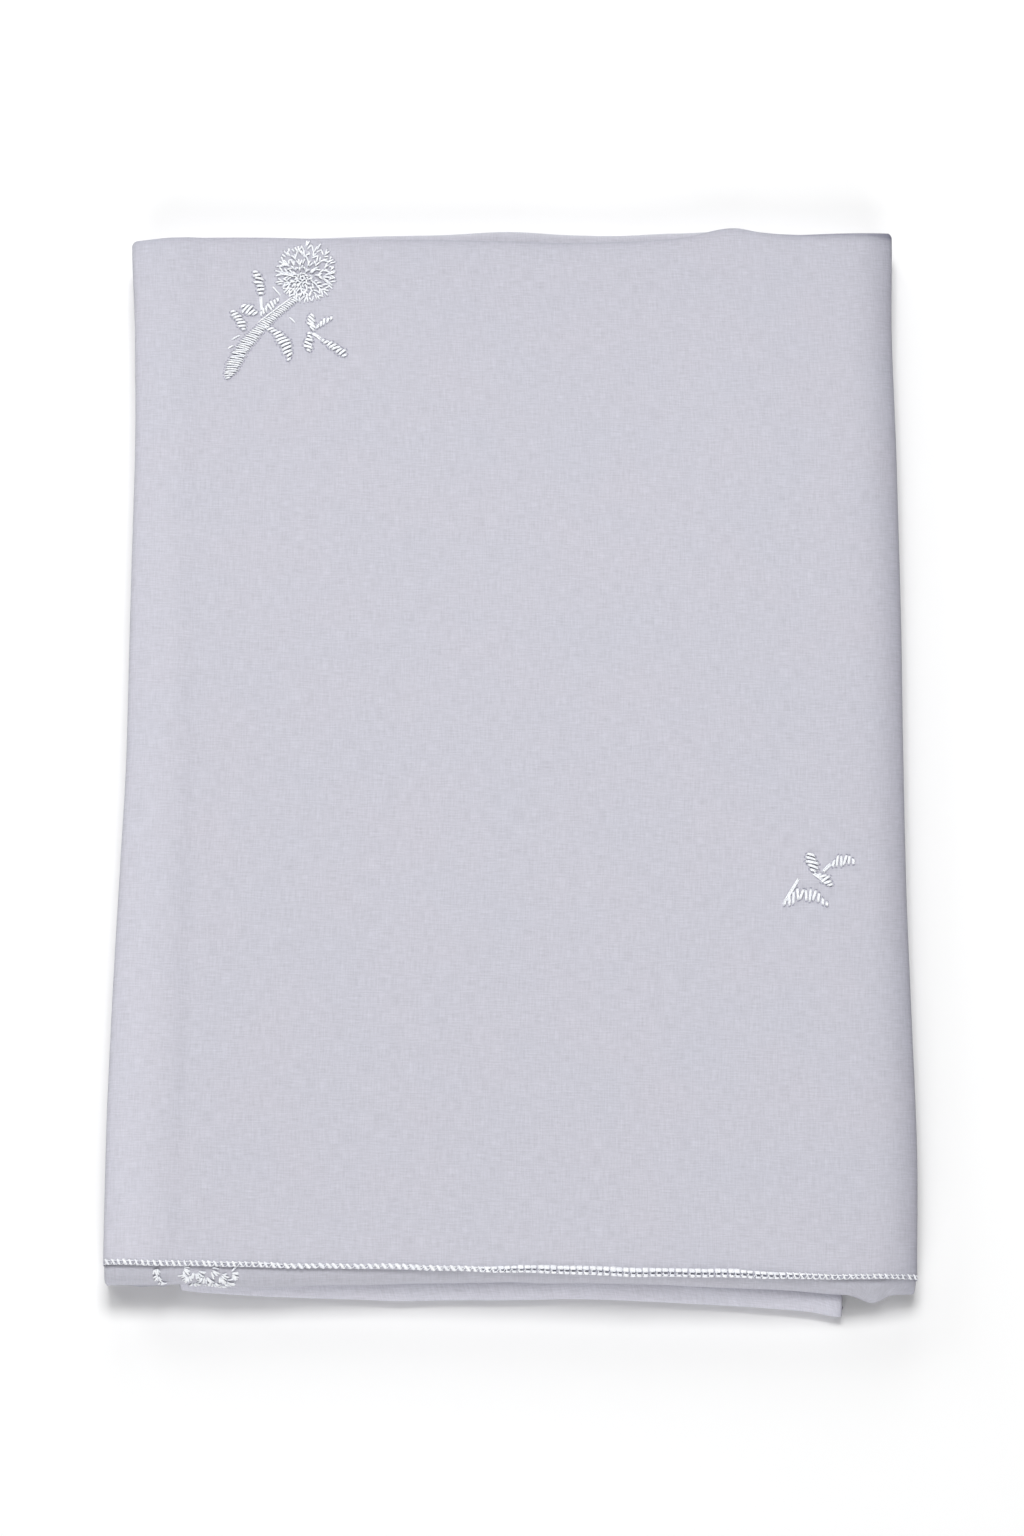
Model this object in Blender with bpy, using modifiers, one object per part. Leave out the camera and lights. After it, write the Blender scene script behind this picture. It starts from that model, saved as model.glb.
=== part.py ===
"""A prayer chador folded into a flat pack: thin cotton cloth, an overlocked hem and embroidered sprigs.

Metres, +Z up. The pack rests on its underside at z = 0. Its hem runs along the near side (-Y), and its
far folds are at +Y. The tables and the working sizes are in millimetres; MM turns them into metres when
a mesh is made. Every cloth surface is given by its outer side, and its wall lies inside that.
"""

import math
from collections import namedtuple

import bmesh
import bpy
from mathutils import Vector

MM = 0.001

# Cloth and stitching, in millimetres.
WALL = 1.1
GAP = 0.3
SAG_ROOM = 0.4
LEAF_TOP = 19.7
LIP_RADIUS = 2.4
HEM_WIDTH = 3.0
HEM_THICK = 1.5
STITCH_THICK = 0.5
STITCH_CROWN = 0.35

# Heights of the two bundles, in millimetres.
LOWER_TOP = 9.6
UPPER_FOOT = LOWER_TOP + GAP
TUCK_DEPTH = 70.0
DROOP_DEPTH = 26.0
SECOND_DEPTH = WALL + GAP + SAG_ROOM
CORE_DEPTH = SECOND_DEPTH + WALL + 2.0 * GAP
FAR_FALL = 1.0
FAR_FALL_LENGTH = 20.0

SlopeRow = namedtuple("SlopeRow", "name rise x width y length")
SideRow = namedtuple("SideRow", "y left right")
NearRow = namedtuple("NearRow", "x hem fold foot")
LowerRow = namedtuple("LowerRow", "x front")
FarRow = namedtuple("FarRow", "x lip second under")
NoseRow = namedtuple("NoseRow", "around back down")
RibRow = namedtuple("RibRow", "foot head left right")
LeafRow = namedtuple("LeafRow", "name base_x base_y tip_x tip_y width bend")
RingRow = namedtuple("RingRow", "share rise depth")
PatchRow = namedtuple("PatchRow", "name middle half_width start end columns rows")


def table(kind, *rows):
    """Return rows of plain numbers as rows with named columns."""
    return tuple(kind(*row) for row in rows)


# Broad rises and falls of the top: name, rise, x where it starts, over what width, y, over what length.
TOP_SLOPES = table(
    SlopeRow,
    ("left_band", 0.8, -112.0, -9.0, -230.0, 10.0),
    ("near_right_corner", -1.8, 104.0, 36.0, -158.0, -40.0),
    ("far_right_corner", -0.8, 55.0, 60.0, 120.0, 70.0),
)
ROLL_HEIGHT = 0.25
ROLL_WIDTH = 27.0
ROLL_LENGTH = 41.0
RIGHT_FALL = 1.2
RIGHT_FALL_WIDTH = 16.0

# The trough beside the raised left band, which fades out towards the far side.
TROUGH_DEPTH = 0.3
TROUGH_X = -112.0
TROUGH_HALF_WIDTH = 4.0
TROUGH_FADE_Y = -10.0
TROUGH_FADE_LENGTH = 60.0

# The pack's long sides: distance along the pack, x of the left edge, x of the right edge.
SIDE_LINE = table(
    SideRow,
    (-200.0, -140.4, 139.3),
    (-147.0, -140.5, 140.3),
    (-98.0, -139.7, 139.6),
    (-48.0, -138.2, 139.0),
    (0.0, -136.9, 139.2),
    (55.0, -136.9, 139.7),
    (108.0, -136.7, 139.6),
    (160.0, -137.9, 139.1),
    (202.0, -139.9, 140.1),
)

# The near side: x, y of the hem's outer edge, y of the upper fold's front, height of that fold's foot.
NEAR_LINE = table(
    NearRow,
    (-141.0, -191.4, -196.2, UPPER_FOOT),
    (-110.0, -191.9, -195.9, UPPER_FOOT),
    (-88.0, -192.3, -197.0, UPPER_FOOT),
    (-59.0, -192.8, -196.0, UPPER_FOOT),
    (13.0, -194.2, -195.3, UPPER_FOOT),
    (44.0, -194.9, -196.0, UPPER_FOOT),
    (96.0, -196.0, -198.1, UPPER_FOOT),
    (117.0, -196.4, -199.6, UPPER_FOOT),
    (121.0, -196.4, -199.3, 4.6),
    (126.0, -196.2, -200.3, 0.9),
    (132.0, -195.9, -198.6, 2.2),
    (141.0, -195.4, -197.8, 2.7),
)

# The lower fold's front: x, y.
LOWER_LINE = table(
    LowerRow,
    (-125.0, -194.5),
    (-105.0, -196.6),
    (-80.0, -197.9),
    (-33.0, -199.3),
    (20.0, -198.8),
    (72.0, -200.9),
    (104.0, -203.6),
    (114.0, -205.1),
)

# The lower bundle lies askew, so its sides draw in at both near corners: y, x of its left, x of its right.
UNDER_LINE = table(
    SideRow,
    (-206.0, -113.0, 113.6),
    (-178.0, -121.0, 114.2),
    (-160.0, -132.0, 119.0),
    (-130.0, -138.6, 130.0),
    (-60.0, -137.6, 136.9),
    (20.0, -136.2, 137.8),
    (110.0, -135.6, 138.2),
    (198.0, -137.6, 138.4),
)

# The far side: x, y of the top leaf's lip, y of the upper fold behind it, y of the lower fold.
FAR_LINE = table(
    FarRow,
    (-141.0, 197.3, 198.2, 197.5),
    (-124.0, 198.7, 199.6, 198.5),
    (-95.0, 199.1, 200.2, 199.8),
    (-66.0, 198.5, 201.3, 200.6),
    (-33.0, 198.1, 202.0, 201.0),
    (-3.0, 197.6, 203.3, 202.0),
    (18.0, 196.9, 202.3, 202.6),
    (40.0, 197.3, 201.9, 202.0),
    (60.0, 198.6, 202.8, 201.4),
    (82.0, 203.1, 203.9, 202.6),
    (92.0, 201.3, 202.9, 202.4),
    (107.0, 199.8, 202.6, 201.6),
    (141.0, 199.9, 201.0, 199.2),
)

# A fold's section: share of the way round it, distance back from its front, share of its height down.
UPPER_NOSE = table(
    NoseRow,
    (0.00, 8.0, 0.00),
    (0.20, 3.8, 0.05),
    (0.40, 1.6, 0.22),
    (0.60, 0.4, 0.50),
    (0.80, 0.1, 0.78),
    (0.93, 1.5, 0.97),
    (1.00, 4.5, 1.00),
)
LOWER_NOSE = table(
    NoseRow,
    (0.00, 9.0, 0.00),
    (0.20, 5.0, 0.04),
    (0.40, 2.9, 0.20),
    (0.60, 1.3, 0.48),
    (0.80, 0.2, 0.76),
    (0.92, 0.9, 0.96),
    (1.00, 4.0, 1.00),
)
FAR_NOSE = table(
    NoseRow,
    (0.00, 8.0, 0.00),
    (0.25, 3.6, 0.04),
    (0.50, 1.2, 0.22),
    (0.75, 0.1, 0.55),
    (1.00, 0.8, 1.00),
)

# Layered edge of the hidden layers: foot and head of each ridge, its reach at the left and at the right.
LOWER_RIBS = table(
    RibRow,
    (1.4, 3.9, 1.2, 1.6),
    (3.9, 6.0, 2.2, 1.0),
    (6.0, 8.15, 1.4, 2.3),
)
SLOT_RIB = RibRow(8.15, 11.35, 1.9, 1.8)
UPPER_RIBS = table(  # these heights are shares of the upper bundle
    RibRow,
    (0.00, 0.36, 1.0, 1.6),
    (0.36, 0.70, 1.9, 0.9),
    (0.70, 1.00, 1.1, 1.7),
)
RIB_SHAPE = ((0.0, 1.7), (0.28, 0.1), (0.74, 0.0))  # share of a ridge's height, how far in it lies
SLOT_SHAPE_END = (0.97, 1.2)  # the slot's last level, just under the upper bundle
CORE_BACK = 8.5
CORE_BULGE = 4.0
CORE_FALL_LEAD = 4.0  # how much sooner the hidden layers fall away at the far side than the leaf over them
CORE_LAG = 16.0  # how much further along the pack the hidden layers draw in at the near right
CORE_DROOP = 5.7  # how far they droop at the near right, from which x, over what width and depth
CORE_DROOP_X = 120.0
CORE_DROOP_WIDTH = 9.0
CORE_DROOP_DEPTH = 22.0
CORE_RINGS = (0.95, 0.82, 0.56, 0.24)
CORE_POINTS = (16, 20, 12, 20)  # along the near, right, far and left sides
CORE_CROWD = (9, 106.0)  # this many of the near points lie to the left of this x

# Leaves of the embroidered sprigs: name, x and y of the stalk end, x and y of the tip, width, bend.
LEAVES = table(
    LeafRow,
    ("sprig_leaf_upright", -92.2, 172.0, -93.4, 184.8, 3.6, -0.8),
    ("sprig_leaf_left", -94.2, 165.8, -99.0, 170.6, 3.8, 0.6),
    ("sprig_leaf_low", -97.8, 160.6, -102.2, 168.0, 2.4, -0.5),
    ("sprig_leaf_stem", -91.6, 168.0, -84.8, 173.4, 2.2, 0.4),
    ("sprig_leaf_right", -87.0, 159.8, -81.8, 148.8, 4.0, 2.6),
    ("twig_leaf_upright", -72.8, 162.0, -72.6, 166.8, 1.9, 0.2),
    ("twig_leaf_down", -73.0, 160.4, -73.6, 152.6, 3.0, -0.3),
    ("twig_leaf_up", -70.8, 162.6, -66.2, 165.8, 1.7, 0.3),
    ("twig_leaf_right", -70.2, 158.6, -60.8, 151.4, 3.0, 0.6),
    ("branch_leaf_upright", 106.4, -48.4, 106.0, -40.8, 3.8, 0.6),
    ("branch_leaf_right", 110.2, -47.2, 120.8, -44.4, 3.2, 1.0),
    ("branch_leaf_small", 108.2, -49.4, 112.6, -53.6, 2.3, 0.2),
    ("branch_leaf_wing", 96.2, -60.4, 110.8, -61.4, 3.8, 3.2),
)
STEM = ((-79.6, 172.4), (-90.6, 164.6), (-98.4, 155.0), (-103.3, 142.4))  # from the flower to its foot
STEM_WIDTH = (2.0, 2.6, 4.8, 3.4)
FLOWER_CENTRE = (-75.0, 184.2)
FLOWER_RADIUS = 11.4
FLOWER_PETALS = 10
FLOWER_POINTS = 40
FLOWER_RINGS = table(  # share of the radius, height above the leaf, depth of the scallops
    RingRow,
    (1.00, 0.0, 0.09),
    (0.98, 0.6, 0.09),
    (0.78, 0.95, 0.16),
    (0.52, 1.1, 0.10),
    (0.22, 0.9, 0.0),
)
FOLD_PATCHES = table(  # x of the middle, half the width, where it starts and ends round the fold, its grid
    PatchRow,
    ("fold_flower", -104.4, 10.0, 0.14, 0.80, 12, 5),
    ("fold_flower_leaf", -121.2, 1.6, 0.20, 0.62, 4, 4),
)


def ease(share):
    """Return a share from 0 to 1 that leaves 0 and reaches 1 gently."""
    share = min(1.0, max(0.0, share))
    return share * share * (3.0 - 2.0 * share)


def blend(low, high, share):
    """Return the value a share of the way from low to high."""
    return low + (high - low) * share


def row_slope(rows, index, column):
    """Return the slope of one column at a row, with no overshoot between rows."""
    if index == 0 or index == len(rows) - 1:
        return 0.0
    before, here, after = rows[index - 1], rows[index], rows[index + 1]
    left = (getattr(here, column) - getattr(before, column)) / (here[0] - before[0])
    right = (getattr(after, column) - getattr(here, column)) / (after[0] - here[0])
    if left * right <= 0.0:
        return 0.0
    return 2.0 * left * right / (left + right)


def along(rows, place, column):
    """Read one column of a table between its rows, on a smooth curve through them."""
    place = min(max(place, rows[0][0]), rows[-1][0])
    index = 0
    while index < len(rows) - 2 and place > rows[index + 1][0]:
        index += 1
    start, end = rows[index], rows[index + 1]
    span = end[0] - start[0]
    share = (place - start[0]) / span
    rise = getattr(end, column) - getattr(start, column)
    first = row_slope(rows, index, column) * span
    last = row_slope(rows, index + 1, column) * span
    curve = rise * share * share * (3.0 - 2.0 * share)
    curve += first * share * (1.0 - share) ** 2 - last * share * share * (1.0 - share)
    return getattr(start, column) + curve


def base_height(x, y):
    """Height of the top of the pack without its fine creases, in millimetres."""
    height = LEAF_TOP + ROLL_HEIGHT * math.sin(x / ROLL_WIDTH + 0.6) * math.cos(y / ROLL_LENGTH)
    for slope in TOP_SLOPES:
        height += slope.rise * ease((x - slope.x) / slope.width) * ease((y - slope.y) / slope.length)
    from_right = (along(SIDE_LINE, y, "right") - x) / RIGHT_FALL_WIDTH
    return height - RIGHT_FALL * (1.0 - min(1.0, max(0.0, from_right))) ** 2


def leaf_height(x, y):
    """Height of the top leaf's outer side, with the trough beside its raised left band."""
    across = math.exp(-(((x - TROUGH_X) / TROUGH_HALF_WIDTH) ** 2))
    fade = 1.0 - ease((y - TROUGH_FADE_Y) / TROUGH_FADE_LENGTH)
    return base_height(x, y) - TROUGH_DEPTH * across * fade


def finish(name, colour, roughness):
    """Return a plain material for one sub-part."""
    material = bpy.data.materials.new(name)
    material.use_nodes = True
    shader = material.node_tree.nodes["Principled BSDF"]
    shader.inputs["Base Color"].default_value = (*colour, 1.0)
    shader.inputs["Roughness"].default_value = roughness
    shader.inputs["Metallic"].default_value = 0.0
    return material


def cloth_finish(name):
    """Return the pale lavender-grey of the cotton cloth."""
    return finish(name + "_cotton", (0.62, 0.62, 0.69), 0.85)


def thread_finish(name):
    """Return the shiny white of the sewing and embroidery thread."""
    return finish(name + "_thread", (0.85, 0.86, 0.92), 0.35)


def add_object(name, body, material, collection):
    """Turn a bmesh into a named, smooth-shaded object of the collection."""
    mesh = bpy.data.meshes.new(name)
    body.to_mesh(mesh)
    body.free()
    mesh.shade_smooth()
    mesh.materials.append(material)
    piece = bpy.data.objects.new(name, mesh)
    collection.objects.link(piece)
    return piece


def add_sheet(name, columns, rows, point, wall, material, collection):
    """Make a walled sheet from a grid whose point(column, row) lies on its outer side."""
    body = bmesh.new()
    bmesh.ops.create_grid(body, x_segments=columns, y_segments=rows, size=0.5)
    for vertex in body.verts:
        column = round((vertex.co.x + 0.5) * columns)
        row = round((vertex.co.y + 0.5) * rows)
        vertex.co = Vector(point(column, row)) * MM
    piece = add_object(name, body, material, collection)
    shell = piece.modifiers.new("wall", "SOLIDIFY")
    shell.thickness = wall * MM
    shell.offset = -1.0
    return piece


def add_loft(name, rings, material, collection):
    """Make a closed body from rings of points, bottom to top, each running anticlockwise."""
    body = bmesh.new()
    loops = [[body.verts.new(Vector(point) * MM) for point in ring] for ring in rings]
    count = len(loops[0])
    for lower, upper in zip(loops, loops[1:]):
        for here in range(count):
            after = (here + 1) % count
            body.faces.new((lower[here], lower[after], upper[after], upper[here]))
    body.faces.new(list(reversed(loops[0])))
    body.faces.new(loops[-1])
    return add_object(name, body, material, collection)


# ---- the top leaf and its hem ---------------------------------------------------------------------

TOP_COLUMNS = 30
TOP_ROWS = 17
TOP_CROWD = (11, 42.0)  # this many columns lie in the first millimetres from the left
LIP_STEPS = 3


def top_column_x(index, left, right):
    """Return x of one column of the top leaf, closer together over the raised left band."""
    crowd_columns, crowd_width = TOP_CROWD
    if index <= crowd_columns:
        return left + crowd_width * index / crowd_columns
    return blend(left + crowd_width, right, (index - crowd_columns) / (TOP_COLUMNS - crowd_columns))


def lip_amounts(column, row):
    """Return how far a point is past the side shoulder (-1 to 1) and past the far one (0 to 1)."""
    side = 0.0
    if column < LIP_STEPS:
        side = (column - LIP_STEPS) / LIP_STEPS
    elif column > TOP_COLUMNS + LIP_STEPS:
        side = (column - TOP_COLUMNS - LIP_STEPS) / LIP_STEPS
    far = max(0.0, (row - TOP_ROWS) / LIP_STEPS)
    return side, far


def top_leaf_point(column, row):
    """Return a point of the top leaf, whose left, right and far edges turn down in a round lip."""
    side, far = lip_amounts(column, row)
    inner_column = min(TOP_COLUMNS, max(0, column - LIP_STEPS))
    share = min(1.0, row / TOP_ROWS)
    x = blend(SIDE_LINE[0].left, SIDE_LINE[0].right, inner_column / TOP_COLUMNS)
    for _ in range(2):
        near = along(NEAR_LINE, x, "hem") + HEM_WIDTH + GAP
        y = blend(near, along(FAR_LINE, x, "lip") - LIP_RADIUS, share)
        left = along(SIDE_LINE, y, "left") + LIP_RADIUS
        right = along(SIDE_LINE, y, "right") - LIP_RADIUS
        x = top_column_x(inner_column, left, right)
    past = max(abs(side), far)
    if past == 0.0:
        return x, y, leaf_height(x, y)
    quarter = 0.25 * math.pi
    turn = far / past * quarter if abs(side) >= far else (2.0 - abs(side) / past) * quarter
    bend = past * 0.5 * math.pi
    out = LIP_RADIUS * math.sin(bend)
    drop = LIP_RADIUS * (1.0 - math.cos(bend))
    out_x = math.copysign(out * math.cos(turn), side)
    return x + out_x, y + out * math.sin(turn), leaf_height(x, y) - drop


def add_top_leaf(collection):
    """Add the topmost stretch of the cloth."""
    columns = TOP_COLUMNS + 2 * LIP_STEPS
    rows = TOP_ROWS + LIP_STEPS
    add_sheet("top_leaf", columns, rows, top_leaf_point, WALL, cloth_finish("top_leaf"), collection)


HEM_COLUMNS = 64
HEM_SIDES = 6
HEM_INSET = 1.0
HEM_END_DIP = 0.5
HEM_END_LENGTH = 3.0
HEM_WAVER = 0.15
HEM_WAVER_LENGTH = 9.0


def hem_ring(share):
    """Return the hem's section at a share of its length, as a ring of points."""
    left = SIDE_LINE[0].left + HEM_INSET
    right = SIDE_LINE[0].right - HEM_INSET
    x = blend(left, right, share)
    end_dip = HEM_END_DIP * (1.0 - ease(min(x - left, right - x) / HEM_END_LENGTH))
    y = along(NEAR_LINE, x, "hem") + 0.5 * HEM_WIDTH + HEM_WAVER * math.sin(x / HEM_WAVER_LENGTH)
    z = leaf_height(x, y) + GAP - 0.5 * HEM_THICK - end_dip
    ring = []
    for side in range(HEM_SIDES):
        angle = 2.0 * math.pi * side / HEM_SIDES
        ring.append((x, y - 0.48 * HEM_WIDTH * math.cos(angle), z - 0.5 * HEM_THICK * math.sin(angle)))
    return ring


def add_hem(collection):
    """Add the overlocked edge, a soft bead along the near side of the top leaf."""
    rings = [hem_ring(column / HEM_COLUMNS) for column in range(HEM_COLUMNS + 1)]
    add_loft("hem", rings, thread_finish("hem"), collection)


# ---- the two folds --------------------------------------------------------------------------------

NOSE_STEPS = 7
FAR_STEPS = 5
UPPER_LENGTH_SHARES = (0.03, 0.065, 0.105, 0.16, 0.28, 0.42, 0.56, 0.70, 0.81, 0.89, 0.95)
UPPER_WIDTH_COLUMNS = (18, 9)  # up to the corner that droops, and over it
DROOP_START = 112.0
SECOND_INSET = 2.6
SECOND_INSET_NEAR = 0.3
SECOND_INSET_LENGTH = 3.0


def second_inset(x, y):
    """Return how far the upper fold's sides lie inside the pack's; it widens out in front of the lip."""
    lip_end = along(NEAR_LINE, x, "hem") + HEM_WIDTH
    return blend(SECOND_INSET, SECOND_INSET_NEAR, ease((lip_end - y) / SECOND_INSET_LENGTH))


def upper_fold_section(x, around):
    """Return y and z of the upper fold's outer side at x, a share of the way round its near nose."""
    front = along(NEAR_LINE, x, "fold")
    head = base_height(x, front + UPPER_NOSE[0].back) - SECOND_DEPTH
    foot = along(NEAR_LINE, x, "foot")
    y = front + along(UPPER_NOSE, around, "back")
    return y, blend(head, foot, along(UPPER_NOSE, around, "down"))


def upper_far_section(x, around):
    """Return y and z of the upper fold's outer side at x, a share of the way down its far nose."""
    front = along(FAR_LINE, x, "second")
    head = base_height(x, front - FAR_NOSE[0].back) - SECOND_DEPTH - FAR_FALL
    foot = UPPER_FOOT + GAP
    return front - along(FAR_NOSE, around, "back"), blend(head, foot, along(FAR_NOSE, around, "down"))


def upper_row(x, row):
    """Return y and z of one row of the upper fold: tuck, near nose, top, far nose."""
    if row <= 1:
        depth = DROOP_DEPTH if row else TUCK_DEPTH
        return along(NEAR_LINE, x, "fold") + depth, UPPER_FOOT + 0.1
    row -= 1
    if row <= NOSE_STEPS + 1:
        return upper_fold_section(x, 1.0 - (row - 1) / NOSE_STEPS)
    row -= NOSE_STEPS + 2
    if row < len(UPPER_LENGTH_SHARES):
        near = upper_fold_section(x, 0.0)[0]
        far = upper_far_section(x, 0.0)[0]
        y = blend(near, far, UPPER_LENGTH_SHARES[row])
        fall = FAR_FALL * ease(1.0 - (far - y) / FAR_FALL_LENGTH)
        return y, base_height(x, y) - SECOND_DEPTH - fall
    return upper_far_section(x, (row - len(UPPER_LENGTH_SHARES)) / FAR_STEPS)


def upper_fold_point(column, row):
    """Return a point of the upper fold's outer side."""
    plain, drooping = UPPER_WIDTH_COLUMNS
    left, right = SIDE_LINE[0].left, SIDE_LINE[0].right
    if column <= plain:
        x = blend(left, DROOP_START, column / plain)
    else:
        x = blend(DROOP_START, right, (column - plain) / drooping)
    share = (x - left) / (right - left)
    y, z = upper_row(x, row)
    inset = second_inset(x, y)
    x = blend(along(SIDE_LINE, y, "left") + inset, along(SIDE_LINE, y, "right") - inset, share)
    return x, y, z


def add_upper_fold(collection):
    """Add the outer leaf of the upper bundle, round its near and far folds."""
    rows = 3 + NOSE_STEPS + len(UPPER_LENGTH_SHARES) + FAR_STEPS
    columns = sum(UPPER_WIDTH_COLUMNS)
    add_sheet("upper_fold", columns, rows, upper_fold_point, WALL, cloth_finish("upper_fold"), collection)


LOWER_COLUMNS = 22
LOWER_LENGTH_ROWS = 7


def lower_fold_section(x, around):
    """Return y and z of the lower fold's outer side at x, a share of the way round its near nose."""
    y = along(LOWER_LINE, x, "front") + along(LOWER_NOSE, around, "back")
    return y, LOWER_TOP * (1.0 - along(LOWER_NOSE, around, "down"))


def lower_far_section(x, around):
    """Return y and z of the lower fold's outer side at x, a share of the way up its far nose."""
    y = along(FAR_LINE, x, "under") - along(FAR_NOSE, around, "back")
    return y, LOWER_TOP * along(FAR_NOSE, around, "down")


def lower_row(x, row):
    """Return y and z of one row of the lower fold: tuck, near nose, underside, far nose."""
    if row <= 1:
        depth = DROOP_DEPTH if row else TUCK_DEPTH
        return along(LOWER_LINE, x, "front") + depth, LOWER_TOP
    row -= 1
    if row <= NOSE_STEPS + 1:
        return lower_fold_section(x, (row - 1) / NOSE_STEPS)
    row -= NOSE_STEPS + 1
    if row < LOWER_LENGTH_ROWS:
        near = lower_fold_section(x, 1.0)[0]
        far = lower_far_section(x, 0.0)[0]
        return blend(near, far, row / LOWER_LENGTH_ROWS), 0.0
    return lower_far_section(x, (row - LOWER_LENGTH_ROWS) / FAR_STEPS)


def lower_fold_point(column, row):
    """Return a point of the lower fold's outer side, its columns running from right to left."""
    share = 1.0 - column / LOWER_COLUMNS
    x = blend(SIDE_LINE[0].left, SIDE_LINE[0].right, share)
    for _ in range(3):
        y, z = lower_row(x, row)
        x = blend(along(UNDER_LINE, y, "left"), along(UNDER_LINE, y, "right"), share)
    return x, y, z


def add_lower_fold(collection):
    """Add the outer leaf of the lower bundle, which is also the flat underside."""
    rows = 2 + NOSE_STEPS + LOWER_LENGTH_ROWS + FAR_STEPS
    cotton = cloth_finish("lower_fold")
    add_sheet("lower_fold", LOWER_COLUMNS, rows, lower_fold_point, WALL, cotton, collection)


# ---- the hidden layers ----------------------------------------------------------------------------

CORNER_CUT = 3.0
CORNER_STEP = 10.0  # a short first step along the right side, where the corner droops
RAGGED_FRONT = -193.4  # y of the layers that come forward at the near left corner
RAGGED_X = -121.0
RAGGED_WIDTH = 8.0
SLOT_Y = RAGGED_FRONT + TUCK_DEPTH + 1.5
UNDER_REACH = 1.2  # how far the lower layers stand out past the askew lower fold
WAVES = ((0.35, 29.0, 1.0), (0.25, 12.0, 2.0))  # height, length and phase of a layer's unevenness


def core_near(x, lower, bulge):
    """Return y of the hidden layers' near side; the lower ones come forward at the left corner."""
    line, column = (LOWER_LINE, "front") if lower else (NEAR_LINE, "fold")
    tucked = along(line, x, column) + CORE_BACK - CORE_BULGE * bulge
    if not lower:
        return tucked
    return blend(RAGGED_FRONT, tucked, ease((x - RAGGED_X) / RAGGED_WIDTH))


def core_near_x(index, left, right):
    """Return x of one near point of the hidden layers, closer together where the corner droops."""
    crowd, middle = CORE_CROWD
    if index <= crowd:
        return blend(left, min(middle, right - CORNER_CUT), index / crowd)
    return blend(min(middle, right - CORNER_CUT), right, (index - crowd) / (CORE_POINTS[0] - 1 - crowd))


def core_side(y, lower, column, reach):
    """Return x of the hidden layers' left or right side."""
    edge = along(SIDE_LINE, y, column)
    inward = 1.0 if column == "left" else -1.0
    if lower and column == "right":
        edge = min(edge, along(UNDER_LINE, y - CORE_LAG, column) + UNDER_REACH)
    return edge + inward * reach


def wobble(place, phase):
    """Return the small unevenness of a layer's edge, in millimetres."""
    return sum(height * math.sin(place / length + turn * phase) for height, length, turn in WAVES)


def core_loop(near, lower, left_reach, right_reach, phase):
    """Return one level of the hidden layers as an anticlockwise loop; near(x) is y of its near side."""
    near_count, right_count, far_count, left_count = CORE_POINTS
    near_left = core_side(RAGGED_FRONT, lower, "left", left_reach)
    near_right = core_side(RAGGED_FRONT, lower, "right", right_reach)
    loop = []
    for index in range(near_count):
        x = core_near_x(index, near_left + CORNER_CUT, near_right - CORNER_CUT)
        loop.append((x, near(x)))
    near_y = loop[-1][1]
    far_y = along(FAR_LINE, near_right, "under") - CORE_BACK
    for index in range(right_count):
        y = near_y + CORNER_CUT
        if index > 0:
            y = blend(y + CORNER_STEP, far_y - CORNER_CUT, (index - 1) / (right_count - 2))
        loop.append((core_side(y, lower, "right", right_reach + wobble(y, phase)), y))
    for index in range(far_count):
        x = blend(near_right - CORNER_CUT, near_left + CORNER_CUT, index / (far_count - 1))
        loop.append((x, along(FAR_LINE, x, "under") - CORE_BACK))
    near_y = loop[0][1]
    far_y = loop[-1][1]
    for index in range(left_count):
        y = blend(far_y - CORNER_CUT, near_y + CORNER_CUT, index / (left_count - 1))
        loop.append((core_side(y, lower, "left", left_reach + wobble(y, phase + 1.0)), y))
    return loop


def core_foot(x, y):
    """Return the height of the foot of the upper bundle's hidden layers."""
    share = (y - along(NEAR_LINE, x, "fold")) / CORE_DROOP_DEPTH
    droop = CORE_DROOP * ease((x - CORE_DROOP_X) / CORE_DROOP_WIDTH)
    return SLOT_RIB.head - droop * (1.0 - min(1.0, share))


def core_height(x, y):
    """Return the height of the top of the hidden layers."""
    far = along(FAR_LINE, x, "second") - FAR_NOSE[0].back - CORE_FALL_LEAD
    return base_height(x, y) - CORE_DEPTH - FAR_FALL * ease(1.0 - (far - y) / FAR_FALL_LENGTH)


def ridge_rings(rib, lower, phase):
    """Return the rings of one ridge of the layered edge."""
    rings = []
    lobe_foot, lobe_head = (LOWER_RIBS[0].foot, SLOT_RIB.foot) if lower else (0.0, 1.0)
    for share, inward in RIB_SHAPE:
        level = blend(rib.foot, rib.head, share)
        bulge = 1.0 - (2.0 * (level - lobe_foot) / (lobe_head - lobe_foot) - 1.0) ** 2

        def near(x, bulge=bulge):
            return core_near(x, lower, bulge)

        loop = core_loop(near, lower, rib.left + inward, rib.right + inward, phase)
        if lower:
            rings.append([(x, y, level) for x, y in loop])
        else:
            rings.append([(x, y, blend(core_foot(x, y), core_height(x, y), level)) for x, y in loop])
    return rings


def slot_rings(phase):
    """Return the rings of the ridge behind the two tucked leaves, and of the shelf over them."""
    rings = []
    for share, inward in RIB_SHAPE + (SLOT_SHAPE_END,):
        level = blend(SLOT_RIB.foot, SLOT_RIB.head, share)
        loop = core_loop(lambda x: SLOT_Y, False, SLOT_RIB.left + inward, SLOT_RIB.right + inward, phase)
        rings.append([(x, y, level) for x, y in loop])

    def shelf_edge(x):
        return along(NEAR_LINE, x, "fold") + DROOP_DEPTH - CORNER_CUT

    inward = SLOT_SHAPE_END[1]
    shelf = core_loop(shelf_edge, False, SLOT_RIB.left + inward, SLOT_RIB.right + inward, phase)
    return rings + [[(x, y, SLOT_RIB.head) for x, y in shelf]]


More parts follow.
